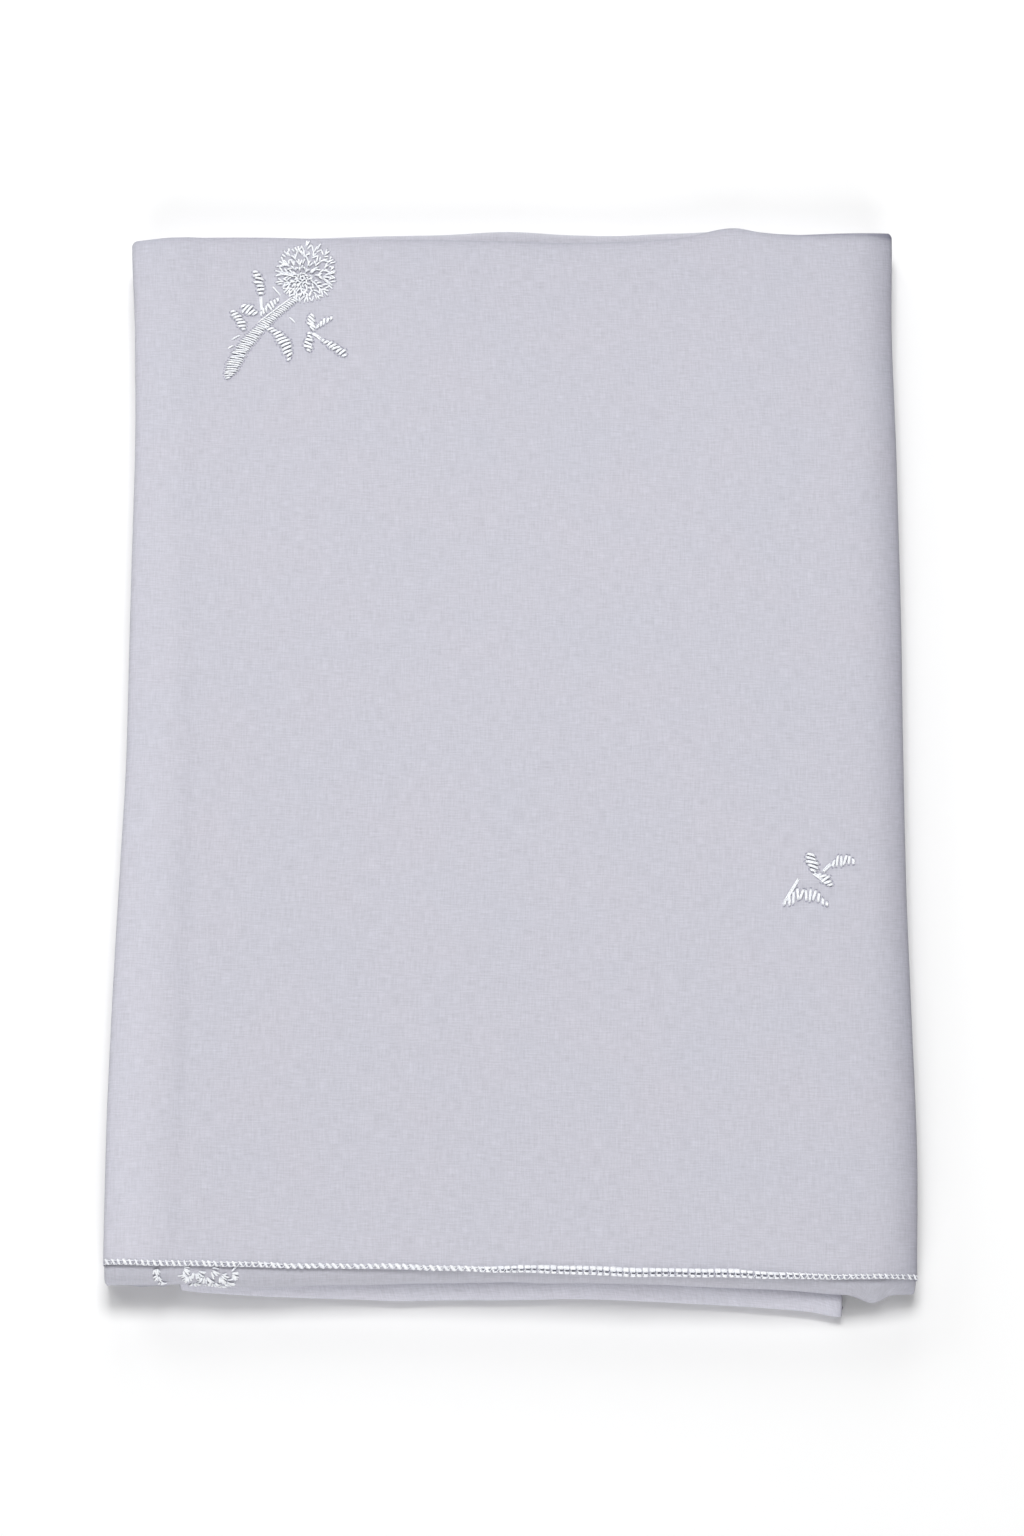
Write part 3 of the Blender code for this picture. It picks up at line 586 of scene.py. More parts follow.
def strands_object(
    name: str, paths: Array, ups: Array, width: float, height: float, fullness: Array | float = 1.0
) -> bpy.types.Object:
    """Make one mesh of many threads of the same number of points.

    Args:
        name: The piece's name.
        paths: The middle line of each thread, as threads of points.
        ups: The way each point faces away from the cloth.
        width: The threads' width along the cloth.
        height: Their height above it.
        fullness: How much thicker or thinner each thread is than that.

    Returns:
        The threads, with length, turn and number kept at each point.
    """
    count, points, _ = paths.shape
    tangent = np.gradient(paths, axis=1)
    tangent /= np.maximum(np.linalg.norm(tangent, axis=2, keepdims=True), TINY)
    aside = np.cross(tangent, np.broadcast_to(ups, paths.shape))
    aside /= np.maximum(np.linalg.norm(aside, axis=2, keepdims=True), TINY)
    over = np.cross(aside, tangent)
    share = np.linspace(-1.0, 1.0, points)
    taper = 1.0 - STRAND_TAPER * share**STRAND_TAPER_POWER
    angles = TURN * np.arange(STRAND_SIDES) / STRAND_SIDES
    full = 0.5 * np.broadcast_to(fullness, (count,))[:, None, None, None] * taper[None, :, None, None]
    rings = paths[:, :, None, :] + width * full * np.cos(angles)[:, None] * aside[:, :, None, :]
    rings = rings + height * full * np.sin(angles)[:, None] * over[:, :, None, :]
    index = np.arange(count * points * STRAND_SIDES).reshape(count, points, STRAND_SIDES)
    ahead = np.roll(index, -1, axis=2)
    skin = np.stack([index[:, :-1], index[:, 1:], ahead[:, 1:], ahead[:, :-1]], axis=-1)
    caps = index[:, 0].tolist() + index[:, -1, ::-1].tolist()
    along = np.broadcast_to(arc_lengths(paths, 1)[:, :, None], index.shape)
    around = np.broadcast_to(angles / TURN, index.shape)
    number = np.broadcast_to(np.arange(count)[:, None, None], index.shape)
    kept = np.stack([along, around, number], axis=-1).reshape(-1, 3)
    faces = skin.reshape(-1, 4).tolist() + caps
    return new_mesh_object(name, rings.reshape(-1, 3), faces, STRAND_COORDINATES, kept)


# ---- finishes -------------------------------------------------------------------------------------


class Graph:
    """A node tree, with short ways to add nodes and join them."""

    def __init__(self, tree: bpy.types.NodeTree) -> None:
        """Take the tree to work on."""
        self.tree = tree

    def add(self, kind: str, settings: dict[str, object] | None = None, **inputs: Input) -> bpy.types.Node:
        """Add a node.

        Args:
            kind: The node's type.
            settings: Its own settings by name.
            **inputs: Values or sockets for its inputs, by name with _ for a space.

        Returns:
            The new node.
        """
        node = self.tree.nodes.new(kind)
        for name, value in (settings or {}).items():
            setattr(node, name, value)
        for name, value in inputs.items():
            self.put(node.inputs[name.replace("_", " ")], value)
        return node

    def put(self, socket: Socket, value: Input) -> None:
        """Join another socket to this one, or set its own value."""
        if isinstance(value, Socket):
            self.tree.links.new(value, socket)
        else:
            socket.default_value = value

    def sum(self, operation: str, first: Input, second: Input = 0.0, third: Input = 0.0) -> Socket:
        """Return the result of a Math node on up to three values."""
        node = self.add("ShaderNodeMath", {"operation": operation})
        for socket, value in zip(node.inputs, (first, second, third)):
            self.put(socket, value)
        return node.outputs[0]

    def vector(self, operation: str, first: Input, second: Input) -> Socket:
        """Return a vector multiplied by another one (MULTIPLY) or by a number (SCALE)."""
        node = self.add("ShaderNodeVectorMath", {"operation": operation})
        self.put(node.inputs[0], first)
        self.put(node.inputs["Scale" if operation == "SCALE" else 1], second)
        return node.outputs[0]

    def decay(self, share: Input) -> Socket:
        """Return a value that falls from 1 as a share grows, and never quite reaches 0."""
        return self.sum("EXPONENT", self.sum("MULTIPLY", share, -1.0))

    def eased(self, value: Input, places: Place, ends: Place = (0.0, 1.0)) -> Socket:
        """Return a value that runs gently between two ends while another passes between two places.

        Args:
            value: The value that passes.
            places: Where the run starts and ends.
            ends: What it starts and ends with.

        Returns:
            The eased value.
        """
        node = self.add("ShaderNodeMapRange", {"interpolation_type": "SMOOTHSTEP"}, Value=value)
        names = ("From Min", "From Max", "To Min", "To Max")
        for name, number in zip(names, (*places, *ends)):
            self.put(node.inputs[name], number)
        return node.outputs[0]

    def mix(self, share: Input, low: Input, high: Input) -> Socket:
        """Return a colour between two."""
        node = self.add("ShaderNodeMix", {"data_type": "RGBA"})
        self.put(node.inputs[0], share)
        for socket, value in ((node.inputs[6], low), (node.inputs[7], high)):
            self.put(socket, value if isinstance(value, Socket) else (*value, 1.0))
        return node.outputs[2]

    def noise(self, place: Input, scale: float, detail: float = 2.0) -> Socket:
        """Return a noise between 0 and 1 at a place."""
        return self.add("ShaderNodeTexNoise", Vector=place, Scale=scale, Detail=detail).outputs[0]

    def kept(self, label: str) -> Socket:
        """Return a vector that the mesh keeps at its points."""
        return self.add("ShaderNodeAttribute", {"attribute_name": label}).outputs["Vector"]

    def bump(self, height: Socket, distance: float, **inputs: Input) -> Socket:
        """Return the normal of a height that stands out by a distance."""
        return self.add("ShaderNodeBump", Height=height, Distance=distance, **inputs).outputs[0]

    def parts(self, vector: Input) -> Sequence[Socket]:
        """Return the three parts of a vector."""
        return self.add("ShaderNodeSeparateXYZ", Vector=vector).outputs


def set_values(node: bpy.types.Node, **values: float | Sequence[float]) -> None:
    """Set inputs that are the same all over, by name with _ for a space."""
    for name, value in values.items():
        node.inputs[name.replace("_", " ")].default_value = value


def new_group(
    name: str, vector: str, numbers: Sequence[str], outputs: Sequence[str]
) -> tuple[Graph, Sequence[Socket], Sequence[Socket]]:
    """Start a shader node group.

    Args:
        name: The group's name.
        vector: The name of its first input, a vector.
        numbers: The names of its other inputs, all plain values.
        outputs: The names of its outputs, all plain values.

    Returns:
        The group's graph, the sockets of its inputs, and the sockets that its outputs are put in.
    """
    tree = bpy.data.node_groups.new(name, "ShaderNodeTree")
    tree.interface.new_socket(vector, in_out="INPUT", socket_type="NodeSocketVector")
    for label in numbers:
        tree.interface.new_socket(label, in_out="INPUT", socket_type="NodeSocketFloat")
    for label in outputs:
        tree.interface.new_socket(label, in_out="OUTPUT", socket_type="NodeSocketFloat")
    graph = Graph(tree)
    return graph, graph.add("NodeGroupInput").outputs, graph.add("NodeGroupOutput").inputs


SLUBS = (((0.2, 2.0, 1.0), 0.45), ((2.2, 0.16, 1.0), 0.37), ((1.3, 1.6, 1.0), 0.18))  # stretches, shares
SLUB_DETAIL = 3.0
WEAVE_SHARE = 0.16
PATCH_SCALES = (1.0, 1.7, 4.2)
LEFT_STRIP_END = 0.35


def woven_grain() -> bpy.types.NodeTree:
    """Return the group for a plain weave with slubs: Relief for bump, and Slubs for colour."""
    graph, given, result = new_group("woven_grain", "Cloth", ("Pitch",), ("Relief", "Slubs"))
    cloth, pitch = given[:2]
    waves = []
    for part in graph.parts(cloth)[:2]:
        waves.append(graph.sum("SINE", graph.sum("MULTIPLY", graph.sum("DIVIDE", part, pitch), TURN)))
    weave = graph.sum("MULTIPLY", *waves)
    both = 0.0
    for stretch, share in SLUBS:
        slub = graph.noise(graph.vector("MULTIPLY", cloth, stretch), 1.0, SLUB_DETAIL)
        both = graph.sum("MULTIPLY_ADD", slub, share, both)
    graph.put(result[0], graph.sum("MULTIPLY_ADD", weave, WEAVE_SHARE, both))
    graph.put(result[1], both)
    return graph.tree


def mottling() -> bpy.types.NodeTree:
    """Return the group for broad, soft patches: First and Second mask, and Rumple for bump."""
    graph, given, result = new_group("mottling", "Cloth", ("Size",), ("First", "Second", "Rumple"))
    cloth, size = given[:2]
    place = graph.vector("SCALE", cloth, graph.sum("DIVIDE", 1.0, size))
    for output, scale in zip(result, PATCH_SCALES):
        graph.put(output, graph.noise(place, scale))
    return graph.tree


def lighter_left_strip() -> bpy.types.NodeTree:
    """Return the group for a lighter strip along the left side, fading towards the far end: Mask."""
    graph, given, result = new_group("lighter_left_strip", "Cloth", ("Middle", "Width", "End"), ("Mask",))
    cloth, middle, width, end = given[:4]
    across, along, _ = graph.parts(cloth)
    away = graph.sum("DIVIDE", graph.sum("SUBTRACT", across, middle), width)
    hump = graph.decay(graph.sum("MULTIPLY", away, away))
    fade = graph.eased(along, (0.0, end), (1.0, LEFT_STRIP_END))
    graph.put(result[0], graph.sum("MULTIPLY", hump, fade))
    return graph.tree


def painted_fold_shade() -> bpy.types.NodeTree:
    """Return the group for painted shade in strips along the folds and edges: Mask."""
    names = ("Left", "Left Reach", "Right", "Right Reach", "Far", "Far Reach")
    graph, given, result = new_group("painted_fold_shade", "Distances", names, ("Mask",))
    total = 0.0
    for gap, name in zip(graph.parts(given["Distances"]), names[::2]):
        fade = graph.decay(graph.sum("DIVIDE", gap, given[name + " Reach"]))
        total = graph.sum("MULTIPLY_ADD", fade, given[name], total)
    graph.put(result[0], total)
    return graph.tree


def place_group(graph: Graph, tree: bpy.types.NodeTree, **inputs: Input) -> bpy.types.Node:
    """Put a shader node group into a material with its own values, and return its node."""
    return graph.add("ShaderNodeGroup", {"node_tree": tree}, **inputs)


def new_material(name: str) -> tuple[bpy.types.Material, Graph, bpy.types.Node]:
    """Return a new material, its graph and its Principled BSDF."""
    material = bpy.data.materials.new(name)
    material.use_nodes = True
    return material, Graph(material.node_tree), material.node_tree.nodes["Principled BSDF"]


TONES = ((0.545, 0.542, 0.602), (0.56, 0.542, 0.602), (0.53, 0.538, 0.606))


@dataclass(frozen=True)
class CottonFinish:
    """Thin plain-woven cotton, pale lavender grey, with faint rosy and bluish patches and fine slubs; some
    leaves also have painted shade along their edges.
    """

    name: str = "cotton_lawn"
    colour: Colour = TONES[0]
    rosy: Colour = TONES[1]
    bluish: Colour = TONES[2]
    slub_shade: float = 0.8
    weave_pitch: float = 0.55
    patch_size: float = 42.0
    rumple_height: float = 0.35
    relief_height: float = 0.08
    bluish_share: float = 0.8
    band_gain: float = 0.0
    band_middle: float = 10.5
    band_width: float = 10.0
    band_end: float = 330.0
    # painted shade: the tint that the cloth is drawn towards in strips along its folds and edges, with each
    # strip's strength and reach given below
    painted_shade_tint: Colour = (0.06, 0.06, 0.11)
    shades: tuple[tuple[Place, Place, Place], ...] = ()
    roughness: float = 0.88
    gloss: float = 0.25
    sheen: float = 0.12
    sheen_roughness: float = 0.45

    def shade(self, graph: Graph, cloth: Socket, slubs: Socket) -> Socket:
        """Return how light the cloth is: its slubs, and a lighter strip along its left side."""
        shade = graph.sum("MULTIPLY_ADD", slubs, self.slub_shade, 1.0 - 0.5 * self.slub_shade)
        if not self.band_gain:
            return shade
        values = {"Middle": self.band_middle, "Width": self.band_width, "End": self.band_end}
        band = place_group(graph, SHARED["lighter_left_strip"], Cloth=cloth, **values)
        return graph.sum("MULTIPLY_ADD", band.outputs["Mask"], self.band_gain, shade)

    def folded(self, graph: Graph, tint: Socket) -> Socket:
        """Return the cloth's tint with painted shade in strips along its folds and edges."""
        gaps = graph.kept(EDGE_DISTANCES)
        for edge_shades in self.shades:
            folds = place_group(graph, SHARED["painted_fold_shade"], Distances=gaps)
            for name, (amount, reach) in zip(("Left", "Right", "Far"), edge_shades):
                set_values(folds, **{name: amount, name + "_Reach": reach})
            tint = graph.mix(folds.outputs["Mask"], tint, self.painted_shade_tint)
        return tint

    def material(self) -> bpy.types.Material:
        """Return the cotton's material."""
        material, graph, shader = new_material(self.name)
        cloth = graph.kept(CLOTH_COORDINATES)
        grain = place_group(graph, SHARED["grain"], Cloth=cloth, Pitch=self.weave_pitch).outputs
        patches = place_group(graph, SHARED["mottling"], Cloth=cloth, Size=self.patch_size).outputs
        tint = graph.mix(patches["First"], self.rosy, self.colour)
        tint = graph.mix(graph.sum("MULTIPLY", patches["Second"], self.bluish_share), tint, self.bluish)
        shade = self.shade(graph, cloth, grain["Slubs"])
        tone = graph.vector("SCALE", self.folded(graph, tint), shade)
        graph.put(shader.inputs["Base Color"], tone)
        set_values(shader, Roughness=self.roughness, Specular_IOR_Level=self.gloss)
        set_values(shader, Sheen_Weight=self.sheen, Sheen_Roughness=self.sheen_roughness)
        rumpled = graph.bump(patches["Rumple"], self.rumple_height * MM)
        woven = graph.bump(grain["Relief"], self.relief_height * MM, Normal=rumpled)
        graph.put(shader.inputs["Normal"], woven)
        return material


@dataclass(frozen=True)
class ThreadFinish:
    """Loosely twisted silky thread, each length of it a little lighter or darker than the next, with painted
    shade on its sides.
    """

    name: str
    colour: Colour
    shaded: Colour
    roughness: float
    # painted shade: the darker colour of the thread's sides
    flank: Colour = (0.72, 0.735, 0.82)
    twist_length: float = 0.9
    twist_height: float = 0.05
    twist_strength: float = 0.6
    plies: float = 2.0
    number_step: float = 0.618  # the part of a turn from one thread's tone to the next one's
    number_share: float = 0.55
    fibre_share: float = 0.45
    fibre_scale: float = 3.0
    # between these heights the painted shade on the thread's sides gives way to its own tone
    painted_shade_fade: Place = (-0.3, 0.5)  # between these heights on its round section the thread turns light
    gloss: float = 0.6
    sheen: float = 0.1

    def material(self) -> bpy.types.Material:
        """Return the thread's material."""
        material, graph, shader = new_material(self.name)
        strand = graph.kept(STRAND_COORDINATES)
        along, around, number = graph.parts(strand)
        turns = graph.sum("ADD", graph.sum("DIVIDE", along, self.twist_length), around)
        ply = graph.sum("SINE", graph.sum("MULTIPLY", turns, self.plies * TURN))
        spread = graph.sum("FRACT", graph.sum("MULTIPLY", number, self.number_step))
        fibres = graph.sum("MULTIPLY", graph.noise(strand, self.fibre_scale), self.fibre_share)
        share = graph.sum("MULTIPLY_ADD", spread, self.number_share, fibres)
        tone = graph.mix(share, self.shaded, self.colour)
        # painted shade: the thread's sides are drawn towards the darker flank colour, its top keeps its own
        # tone
        painted_shade_fade = graph.eased(graph.sum("SINE", graph.sum("MULTIPLY", around, TURN)), self.painted_shade_fade)
        graph.put(shader.inputs["Base Color"], graph.mix(painted_shade_fade, self.flank, tone))
        set_values(shader, Roughness=self.roughness, Specular_IOR_Level=self.gloss, Sheen_Weight=self.sheen)
        twist = graph.bump(ply, self.twist_height * MM, Strength=self.twist_strength)
        graph.put(shader.inputs["Normal"], twist)
        return material


@dataclass(frozen=True)
class StitchShadeFinish:
    """Painted shade: dark spots on the cotton where the stitches go into it."""

    name: str = "stitch_end_painted_shade"
    colour: Colour = (0.3, 0.3, 0.37)
    lighter: Colour = (0.5, 0.5, 0.58)
    uneven: float = 0.5
    noise_scale: float = 1.3
    roughness: float = 0.95
    gloss: float = 0.1

    def material(self) -> bpy.types.Material:
        """Return the painted shade spots' material."""
        material, graph, shader = new_material(self.name)
        noise = graph.noise(graph.kept(STRAND_COORDINATES), self.noise_scale)
        share = graph.sum("MULTIPLY", noise, self.uneven)
        graph.put(shader.inputs["Base Color"], graph.mix(share, self.colour, self.lighter))
        set_values(shader, Roughness=self.roughness, Specular_IOR_Level=self.gloss)
        return material


@dataclass(frozen=True)
class FloorFinish:
    """A matt white studio floor."""

    name: str = "studio_floor"
    shade: float = 0.93

    def material(self) -> bpy.types.Material:
        """Return the floor's material."""
        material, _, shader = new_material(self.name)
        colour = (self.shade, self.shade, self.shade, 1.0)
        set_values(shader, Base_Color=colour, Roughness=1.0, Specular_IOR_Level=0.0)
        return material


def painted_light_cotton(name: str, strength: float, **settings: object) -> bpy.types.Material:
    """Return the cotton's material with its tones scaled: below 1 for painted shade, above 1 for painted
    light.
    """
    tones = (tuple(strength * part for part in tone) for tone in TONES)
    return CottonFinish(name, *tones, **settings).material()


SHARED = {"grain": woven_grain(), "mottling": mottling(), "lighter_left_strip": lighter_left_strip(), "painted_fold_shade": painted_fold_shade()}
# Painted shade along the leaves' edges: narrow strips at the folds, a broad faint fall towards the top leaf's
# right and far sides, and strips at the near folds' right ends and lower edges.
TOP_PAINTED_SHADE = (((0.05, 2.0), (0.34, 5.5), (0.42, 1.2)), ((0.0, 1.0), (0.03, 26.0), (0.07, 60.0)))
UPPER_PAINTED_SHADE = (((0.0, 1.0), (0.3, 6.0), (0.5, 1.1)),)
LOWER_PAINTED_SHADE = (((0.0, 1.0), (0.3, 1.2), (0.5, 0.9)),)
COTTON = CottonFinish().material()
TOP_COTTON = CottonFinish("cotton_lawn_top", band_gain=0.075, shades=TOP_PAINTED_SHADE).material()
# The near folds are the same cloth: the upper one is darker all over as painted shade, the lower one lighter
# as painted light.
UPPER_PAINTED_SHADE_COTTON = painted_light_cotton("cotton_lawn_upper_painted_shade", 0.92, shades=UPPER_PAINTED_SHADE)
LOWER_PAINTED_LIGHT_COTTON = painted_light_cotton("cotton_lawn_lower_painted_light", 1.14, shades=LOWER_PAINTED_SHADE)
SHADED_COTTON = StitchShadeFinish().material()
# the roll's flank tone is painted shade on its sides, which show between the overlock threads
ROLL_TONES = ((0.56, 0.56, 0.64), (0.46, 0.46, 0.54), 0.8, (0.4, 0.4, 0.48))
HEM_COTTON = ThreadFinish("hem_roll_cotton", *ROLL_TONES).material()
HEM_THREAD = ThreadFinish("overlock_thread", (0.97, 0.98, 0.99), (0.88, 0.9, 0.96), 0.34).material()
SATIN_THREAD = ThreadFinish("satin_thread", (0.98, 0.99, 1.0), (0.88, 0.91, 0.97), 0.28).material()


def hand_over(
    piece: bpy.types.Object, material: bpy.types.Material, slot: Slot, nodes: Sequence[str]
) -> None:
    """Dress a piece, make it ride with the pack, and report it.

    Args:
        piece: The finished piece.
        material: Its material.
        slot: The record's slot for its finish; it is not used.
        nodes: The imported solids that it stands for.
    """
    piece.data.materials.append(material)
    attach(piece, BODY)
    if nodes:
        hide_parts(*nodes)
    LOG.info("%s: %d faces, for %s", piece.name, len(piece.data.polygons), ", ".join(nodes) or "no solid")


def declare_leaf(
    piece: bpy.types.Object, grid: Array
) -> None:
    """State a leaf's flat size, which is its own length and width along the cloth.

    Args:
        piece: The leaf.
        grid: The grid that it was made from.
    """
    width = float(arc_lengths(grid, 1)[:, -1].mean()) * MM
    length = float(arc_lengths(grid, 0)[-1].mean()) * MM
    flat = (round(width, 3), round(length, 3))
    LOG.info("%s: cut %.3f x %.3f m", piece.name, *flat)


# ---- the leaves -----------------------------------------------------------------------------------


class Section:
    """The rows of a fold's section from one end to the other, each with y and z for every column."""

    def __init__(self, x: Array) -> None:
        """Start with no rows, over columns at x."""
        self.x = x
        self.y: list[Array] = []
        self.z: list[Array] = []

    def add(self, y: Array, z: Array | float) -> None:
        """Add one row."""
        self.y.append(y)
        self.z.append(np.zeros_like(self.x) + z)

    def add_nose(self, nose: Callable, first: float, last: float, count: int) -> None:
        """Add rows round a nose, from one share of the way round it to another."""
        for around in np.linspace(first, last, count):
            self.add(*nose(self.x, around))

    def rows(self) -> tuple[Array, Array]:
        """Return y and z, as rows of columns."""
        return np.stack(self.y), np.stack(self.z)


@dataclass
class TopLeaf:
    """The topmost stretch of the cloth, whose left, right and far edges fold under in a round lip."""

    columns: int = 176
    rows: int = 246
    lip_steps: int = 7
    lip_radius: float = 2.4
    lip_turn: float = math.radians(118.0)
    left_inset: float = 2.1
    right_inset: float = 1.3
    tucked: float = 0.7  # how far its cut edge lies inside the overlocking
    corner_reach: float = 1.3
    corner_start: float = 84.0
    corner_length: float = 44.0
    fallen_from: float = 0.3  # how far the top has to fall before the far fold runs on
    fallen_share: float = 0.36
    length: float = 380.0
    guessed_half: float = 140.0

    def lifted(self, x: Array, y: Array) -> Array:
        """Return how far the far fold runs on where the pack's top falls away to the right."""
        fallen = np.maximum(LEAF_TOP - FORM.leaf_height(x, y) - self.fallen_from, 0.0)
        corner = self.corner_reach * ease((x - self.corner_start) / self.corner_length)
        return self.fallen_share * fallen + corner

    def grid(self) -> Array:
        """Return the leaf's outer points."""
        lip = np.linspace(0.0, 1.0, self.lip_steps + 1)[1:]
        side = np.concatenate([-lip[::-1], np.zeros(self.columns + 1), lip])
        far = np.concatenate([np.zeros(self.rows + 1), lip])
        across = np.clip((np.arange(len(side)) - self.lip_steps) / self.columns, 0.0, 1.0)
        share = np.clip(np.arange(len(far)) / self.rows, 0.0, 1.0)
        side, far = np.meshgrid(side, far)
        across, share = np.meshgrid(across, share)
        x = blend(-self.guessed_half, self.guessed_half, across)
        for _ in range(SETTLING_ROUNDS):
            near_y = FORM.near.read("hem", x) + self.tucked
            far_y = FORM.far.read("lip", x) - self.lip_radius + self.lifted(x, near_y + self.length)
            y = blend(near_y, far_y, share)
            left, right = FORM.sides.read("left", y), FORM.sides.read("right", y)
            x = blend(left + self.left_inset, right - self.right_inset, across)
        past = np.maximum(np.abs(side), far)
        ratio = np.minimum(np.abs(side), far) / np.maximum(past, TINY)
        eighth = TURN / 8.0
        turn = np.where(np.abs(side) >= far, ratio * eighth, (2.0 - ratio) * eighth)
        way_x, way_y = np.copysign(np.cos(turn), side), np.sin(turn)
        height = FORM.leaf_height(x, y)
        fall = np.arctan(height - FORM.leaf_height(x + way_x, y + way_y)) * (past > 0.0)
        bend = blend(fall, self.lip_turn, past)
        out = self.lip_radius * (np.sin(bend) - np.sin(fall))
        drop = self.lip_radius * (np.cos(fall) - np.cos(bend))
        return np.stack([x + out * way_x, y + out * way_y, height - drop], axis=-1)

    def build(self) -> tuple[bpy.types.Object, Array]:
        """Make the leaf, dress it and return it with the grid that it was made from."""
        grid = self.grid()
        piece = sheet_object("top_leaf_cloth", grid)
        x, y, _ = grid.reshape(-1, 3).T
        left, right = FORM.sides.read("left", y), FORM.sides.read("right", y)
        # distances to the edges, for the painted shade along them
        gaps = np.stack([x - left, right - x, FORM.far.read("lip", x) - y], axis=-1)
        keep_at_points(piece, EDGE_DISTANCES, np.maximum(gaps, 0.0))
        hand_over(piece, TOP_COTTON, Slot.COTTON, ["top_leaf"])
        return piece, grid


@dataclass
class UpperFold:
    """The leaf round the upper bundle: under it, over its near and far noses, and along its top."""

    columns: int = 150
    tuck_rows: int = 14
    droop_rows: int = 7
    nose_rows: int = 22
    top_rows: int = 44
    far_rows: int = 14
    hidden_rows: int = 16
    inset: float = 2.6
    near_inset: float = 0.3
    near_inset_width: float = 3.0
    lip_radius: float = 1.2
    lip_run: float = 0.2
    tucked_turn: float = 50.0
    shown_turn: float = 115.0
    turning_rows: float = 8.0
    tuck_end: float = 12.0
    tuck_lift: float = 0.1
    nose_back: float = 4.5
    return_length: float = 6.0
    return_drop: float = 0.2
    uneven_height: float = 0.12
    uneven_size: float = 30.0
    uneven_seed: int = 11
    creases: tuple[Crease, ...] = (
        Crease((-124.0, 2.0), (-118.0, 14.0), -0.25, 1.6, 0.4),
        Crease((-84.0, 5.0), (-66.0, 12.0), -0.22, 1.8, 0.6),
        Crease((-60.0, 11.0), (-38.0, 14.0), 0.22, 1.8, 0.5),
        Crease((-20.0, 7.0), (8.0, 13.0), -0.26, 1.8, 0.8),
        Crease((4.0, 12.0), (26.0, 15.0), 0.24, 1.8, -0.5),
        Crease((30.0, 9.0), (62.0, 12.0), -0.2, 2.0, 0.6),
        Crease((70.0, 6.0), (92.0, 13.0), -0.22, 1.8, -0.6),
        Crease((98.0, 6.0), (122.0, 12.0), -0.35, 2.2, 0.8),
        Crease((117.0, 9.0), (125.0, 22.0), 0.6, 2.0, 0.4),
        Crease((127.0, 8.0), (134.0, 22.0), -0.65, 2.0, 0.4),
    )

    def rows(self, x: Array) -> tuple[Array, Array]:
        """Return y and z of the outer side, from the end of its tuck to the end of its far return.

        Args:
            x: Where each column stands.

        Returns:
            y and z, as rows of columns.
        """
        front, foot = FORM.near.read("fold", x), FORM.near.read("foot", x)
        far = FORM.far.read("second", x)
        section = Section(x)
        low = UPPER_FOOT + self.tuck_lift
        for share in np.linspace(0.0, 1.0, self.tuck_rows):
            section.add(blend(far - self.tuck_end, front + DROOP_DEPTH, share), low)
        for share in np.linspace(0.0, 1.0, self.droop_rows + 2)[1:-1]:
            section.add(front + blend(DROOP_DEPTH, self.nose_back, share), blend(low, foot, ease(share)))
        section.add_nose(FORM.upper_near, 1.0, 0.0, self.nose_rows)
        near_y, far_y = section.y[-1], FORM.upper_far(x, 0.0)[0]
        for share in np.linspace(0.0, 1.0, self.top_rows + 2)[1:-1]:
            y = blend(near_y, far_y, share)
            section.add(y, FORM.base_height(x, y) - SECOND_DEPTH - far_fall(far_y - y))
        section.add_nose(FORM.upper_far, 0.0, 1.0, self.far_rows)
        for share in RETURN_SHARES:
            drop = self.return_drop * min(1.0, 4.0 * share)
            section.add(far - RETURN_START - self.return_length * share, UPPER_FOOT + GAP - drop)
        return section.rows()

    def grid(self) -> Array:
        """Return the leaf's outer points, lips and creases and all."""
        across = np.linspace(0.0, 1.0, self.columns + 1)
        columns = blend(*SIDE_GUESSES, across)
        y, z = self.rows(columns)
        lip_end = FORM.near.read("hem", columns) + HEM_WIDTH
        near = ease((lip_end - y) / self.near_inset_width)
        x = FORM.side_x(y, across, blend(self.inset, self.near_inset, near) + self.lip_radius)
        grid = np.stack([x, y, z], axis=-1)
        from_end = arc_lengths(grid, 0)
        shoulder = from_end[self.tuck_rows + self.droop_rows + self.nose_rows - 1]
        uneven = self.uneven_height * swell(x, from_end, self.uneven_size, self.uneven_seed)
        lift = pressed(self.creases, x, shoulder - from_end) + uneven
        grid = grid + grid_normals(grid) * lift[:, :, None]
        beyond = ease((np.arange(len(grid)) - self.hidden_rows) / self.turning_rows)
        turn = np.radians(blend(self.tucked_turn, self.shown_turn, beyond))
        run = np.full(len(grid), self.lip_run)
        return with_lips(grid, self.lip_radius, turn, (run, run))

    def build(self) -> bpy.types.Object:
        """Make the leaf, dress it and return it."""
        grid = self.grid()
        piece = sheet_object("upper_fold_cloth", grid)
        x, y, _ = grid.reshape(-1, 3).T
        front, foot = FORM.near.read("fold", x), FORM.near.read("foot", x)
        # distances to the fold's edges, for the painted shade along them
        keep_at_points(piece, EDGE_DISTANCES, nose_gaps(grid, front, foot, FORM.sides.read("right", y)))
        hand_over(piece, UPPER_PAINTED_SHADE_COTTON, Slot.COTTON, ["upper_fold"])
        declare_leaf(piece, grid)
        return piece


